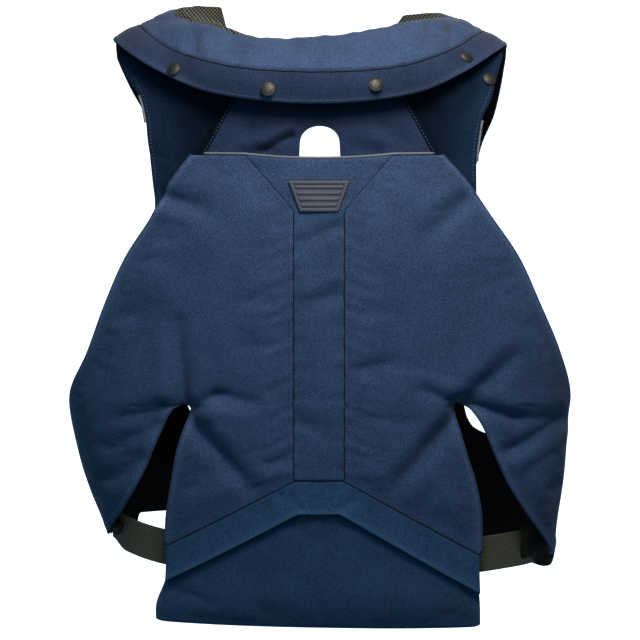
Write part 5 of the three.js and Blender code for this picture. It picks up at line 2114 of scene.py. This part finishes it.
@dataclass
class Sewing:
    """Rows of stitches laid on the finished cloth, the rolled hems along free edges, and thin black beads as
    painted shade in the seams.
    """

    pitch: float = 3.8
    stitch: Triple = (2.7, 0.85, 0.7)
    sunk: float = 0.05
    hem_radius: float = 1.7
    hem_step: float = 4.0
    hem_away: float = 4.0
    spine_away: float = 3.5
    yoke_away: float = 3.0
    badge_away: float = 2.0
    pair_half: float = 3.2
    seam_shade_radius: float = 0.62
    seam_shade_sunk: float = 0.2
    sides: int = 8
    collar_hem: Pair = (0.9, 0.05)
    collar_seam: float = 0.06
    collar_middle: tuple[float, float, int] = (0.08, 0.95, 30)
    spine_steps: int = 80
    waist_steps: int = 200

    def seam(self, name: str, piece: Piece, line: Array) -> Piece:
        """Lays a thin black bead in a seam, as painted shade for the seam's groove.

        Args:
            name: The bead's name.
            piece: The finished cloth beside the seam.
            line: The seam's points, close to the cloth.

        Returns:
            The bead.
        """
        seats, ups = nearest(piece, line, self.pitch)
        return tube(name, seats - ups * self.seam_shade_sunk, self.seam_shade_radius, LINING, None, self.sides)

    def row(self, piece: Piece, line: Array) -> tuple[Array, Array]:
        """The places and frames of stitches along a line, on the nearest cloth of a piece."""
        seats, ups = nearest(piece, line, self.pitch)
        return seats + ups * (self.stitch[2] / 2 - self.sunk), travelling_frames(seats, ups)

    def build(self, name: str, piece: Piece, lines: Iterable[Array]) -> Piece:
        """Sews rows onto a piece.

        Args:
            name: The new piece's name.
            piece: The finished cloth.
            lines: The rows' lines.

        Returns:
            All the rows as one piece.
        """
        template = bmesh.new()
        bmesh.ops.create_uvsphere(template, u_segments=6, v_segments=4, radius=0.5)
        turn = Matrix.Rotation(math.pi / 2, 4, "Y")
        bmesh.ops.transform(template, matrix=turn, verts=template.verts[:])
        return scatter(name, template, [self.row(piece, line) for line in lines], self.stitch, THREAD)


# Studio


@dataclass(frozen=True)
class SoftBox:
    """A square light: where it hangs and aims, its side in metres, its power in watts and its colour."""

    name: str
    place: Triple
    aim: Triple
    size: float
    power: float
    color: str

    def build(self) -> None:
        """Hangs the light."""
        data = bpy.data.lights.new(self.name, "AREA")
        data.size = self.size
        data.energy = self.power
        data.color = linear(self.color)[:3]
        lamp = add_object(self.name, data)
        lamp.location = Vector(self.place) * MM
        lamp.rotation_euler = (Vector(self.aim) - Vector(self.place)).to_track_quat("-Z", "Y").to_euler()


@dataclass
class Studio:
    """A pale floor without an end in view, soft light from above and the photograph's camera."""

    target: Triple = (1.05, -60.0, -300.0)
    distance: float = 4000.0
    elevation: float = 6.0
    view_width: float = 672.0
    sensor: float = 36.0
    floor_height: float = -1500.0
    floor_half: float = 200.0
    horizon: str = "#5fd0ee"
    zenith: str = "#ffffff"
    ambient: float = 0.44
    overhead: float = 1.0
    gamma: float = 0.84
    paint: str = "#fbfbfb"
    glow: float = 0.5
    lights: tuple[SoftBox, ...] = (
        SoftBox("key_box", (110, -700, 480), (0, -80, -200), 0.36, 38, "#ffdccc"),
        SoftBox("camera_fill", (-300, -1800, 100), (0, -80, -250), 1.2, 20, "#98e9ff"),
        SoftBox("front_fill", (300, 1800, 500), (0, 0, -300), 1.5, 30, "#ffffff"),
    )

    def camera(self) -> None:
        """Makes the camera at the photograph's angle."""
        data = bpy.data.cameras.new("camera")
        data.sensor_width = self.sensor
        data.lens = self.sensor * self.distance / self.view_width
        data.clip_end = 1000
        camera = add_object("camera", data)
        tilt = math.radians(self.elevation)
        away = Vector((0, -math.cos(tilt), math.sin(tilt)))
        camera.location = (Vector(self.target) + away * self.distance) * MM
        camera.rotation_euler = (-away).to_track_quat("-Z", "Y").to_euler()
        bpy.context.scene.camera = camera

    def floor(self) -> None:
        """Makes the floor, of matte paint."""
        mesh = bmesh.new()
        bmesh.ops.create_grid(mesh, x_segments=4, y_segments=4, size=self.floor_half)
        bmesh.ops.translate(mesh, vec=(0, 0, self.floor_height * MM), verts=mesh.verts[:])
        floor = write_object("floor", mesh)
        paint = bpy.data.materials.new("matte_paint")
        paint.use_nodes = True
        shader = paint.node_tree.nodes["Principled BSDF"]
        looks = {
            "Base Color": linear(self.paint),
            "Roughness": 1.0,
            "Specular IOR Level": 0.0,
            "Emission Color": linear(self.zenith),
            "Emission Strength": self.glow,
        }
        for key, value in looks.items():
            shader.inputs[key].default_value = value
        floor.data.materials.append(paint)
        floor.visible_diffuse = False

    def sky(self) -> None:
        """Makes the surrounding light, brightest overhead and a cool dusk below the horizon."""
        world = bpy.data.worlds.new("studio")
        world.use_nodes = True
        tree = world.node_tree
        place = add_node(tree, "ShaderNodeTexCoord")
        parts = add_node(tree, "ShaderNodeSeparateXYZ", links={0: place.outputs["Generated"]})
        ramp = add_node(tree, "ShaderNodeValToRGB", links={0: parts.outputs["Z"]})
        stops = ramp.color_ramp.elements
        stops[0].position, stops[0].color = 0.0, linear(self.horizon)
        stops[1].position, stops[1].color = 1.0, linear(self.zenith)
        square = calculate(tree, "POWER", calculate(tree, "MAXIMUM", parts.outputs["Z"], 0.0), 2.0)
        strength = calculate(tree, "MULTIPLY_ADD", square, self.overhead, self.ambient)
        back = tree.nodes["Background"]
        tree.links.new(ramp.outputs["Color"], back.inputs["Color"])
        tree.links.new(strength, back.inputs["Strength"])
        bpy.context.scene.world = world

    def build(self) -> None:
        """Sets up the floor, the light and the camera."""
        bpy.context.scene.view_settings.view_transform = "Standard"
        bpy.context.scene.view_settings.gamma = self.gamma
        self.sky()
        self.floor()
        for light in self.lights:
            light.build()
        self.camera()


def main() -> None:
    """Builds the vest piece by piece, sews it and sets up the studio."""
    logging.basicConfig(level=logging.INFO, format="%(name)s: %(message)s")
    Studio().build()
    backs = {side: BackPanel(side) for side in Side}
    back_pieces = {side: backs[side].build() for side in Side}
    spine = SpinePanel().build()
    waist = WaistBand().build()
    TailPanel().build()
    YokePanel().build()
    shoulders = {side: ShoulderPanel(side) for side in Side}
    shoulder_pieces = {side: shoulders[side].build() for side in Side}
    for side in Side:
        FrontPanel(side).build()
        SideStrap(side).build()
    FrontZip().build()
    roll, collar_band, _ = COLLAR.build()
    Pipings().build(shoulder_pieces)
    Snaps().build()
    badge = Badge()
    badge.build()

    sewing = Sewing()
    for side in Side:
        panel = backs[side]
        lines = [panel.outline(sewing.hem_away), panel.spine_seam(sewing.spine_away)]
        sewing.build(f"back_stitches_{side.word}", back_pieces[side], lines)
        edge = resample(panel.outline(0.0), sewing.hem_step)
        tube(f"back_hem_{side.word}", edge, sewing.hem_radius, NAVY, None, sewing.sides)
        lines = [shoulders[side].edge_line(sewing.hem_away), shoulders[side].yoke_line(sewing.yoke_away)]
        sewing.build(f"shoulder_stitches_{side.word}", shoulder_pieces[side], lines)
        # A thin black bead down each side of the strip, as painted shade in the seam's groove.
        z = np.linspace(SPINE.strip_top, SPINE.strip_bottom, sewing.spine_steps)
        x = np.full(z.shape, side.value * SPINE.strip_half)
        line = outer_surface(x, z, PANEL_EDGE / 2 - fold_depth(x, z))
        sewing.seam(f"spine_seam_{side.word}", back_pieces[side], line)
    sewing.build("collar_hem_stitches", collar_band, [COLLAR.band_line(*sewing.collar_hem)])
    # A thin black bead along the band's seam, as painted shade in the seam's groove.
    sewing.seam("collar_seam", collar_band, COLLAR.band_line(sewing.collar_seam))
    # Thin black beads along the waist band's seam and under its lower hem, as painted shade.
    for name, above in (("upper", CLOTH / 2), ("lower", BAND.stand + BAND.hem / 4)):
        x, z = BAND.edge(np.linspace(-1, 1, sewing.waist_steps), name)
        sewing.seam(f"waist_seam_{name}", waist, outer_surface(x, z, np.full(z.shape, above)))
    sewing.build("badge_stitches", spine, [badge.outline(sewing.badge_away)])
    across = np.linspace(*sewing.collar_middle)
    centre = COLLAR.between("rim", "seam", np.full(across.shape, 0.5), across, COLLAR.roll_bulge)
    rows = [centre + (offset, -COLLAR.edge / 2, 0) for offset in (-sewing.pair_half, sewing.pair_half)]
    sewing.build("collar_seam_stitches", roll, rows)


if __name__ == "__main__":
    main()
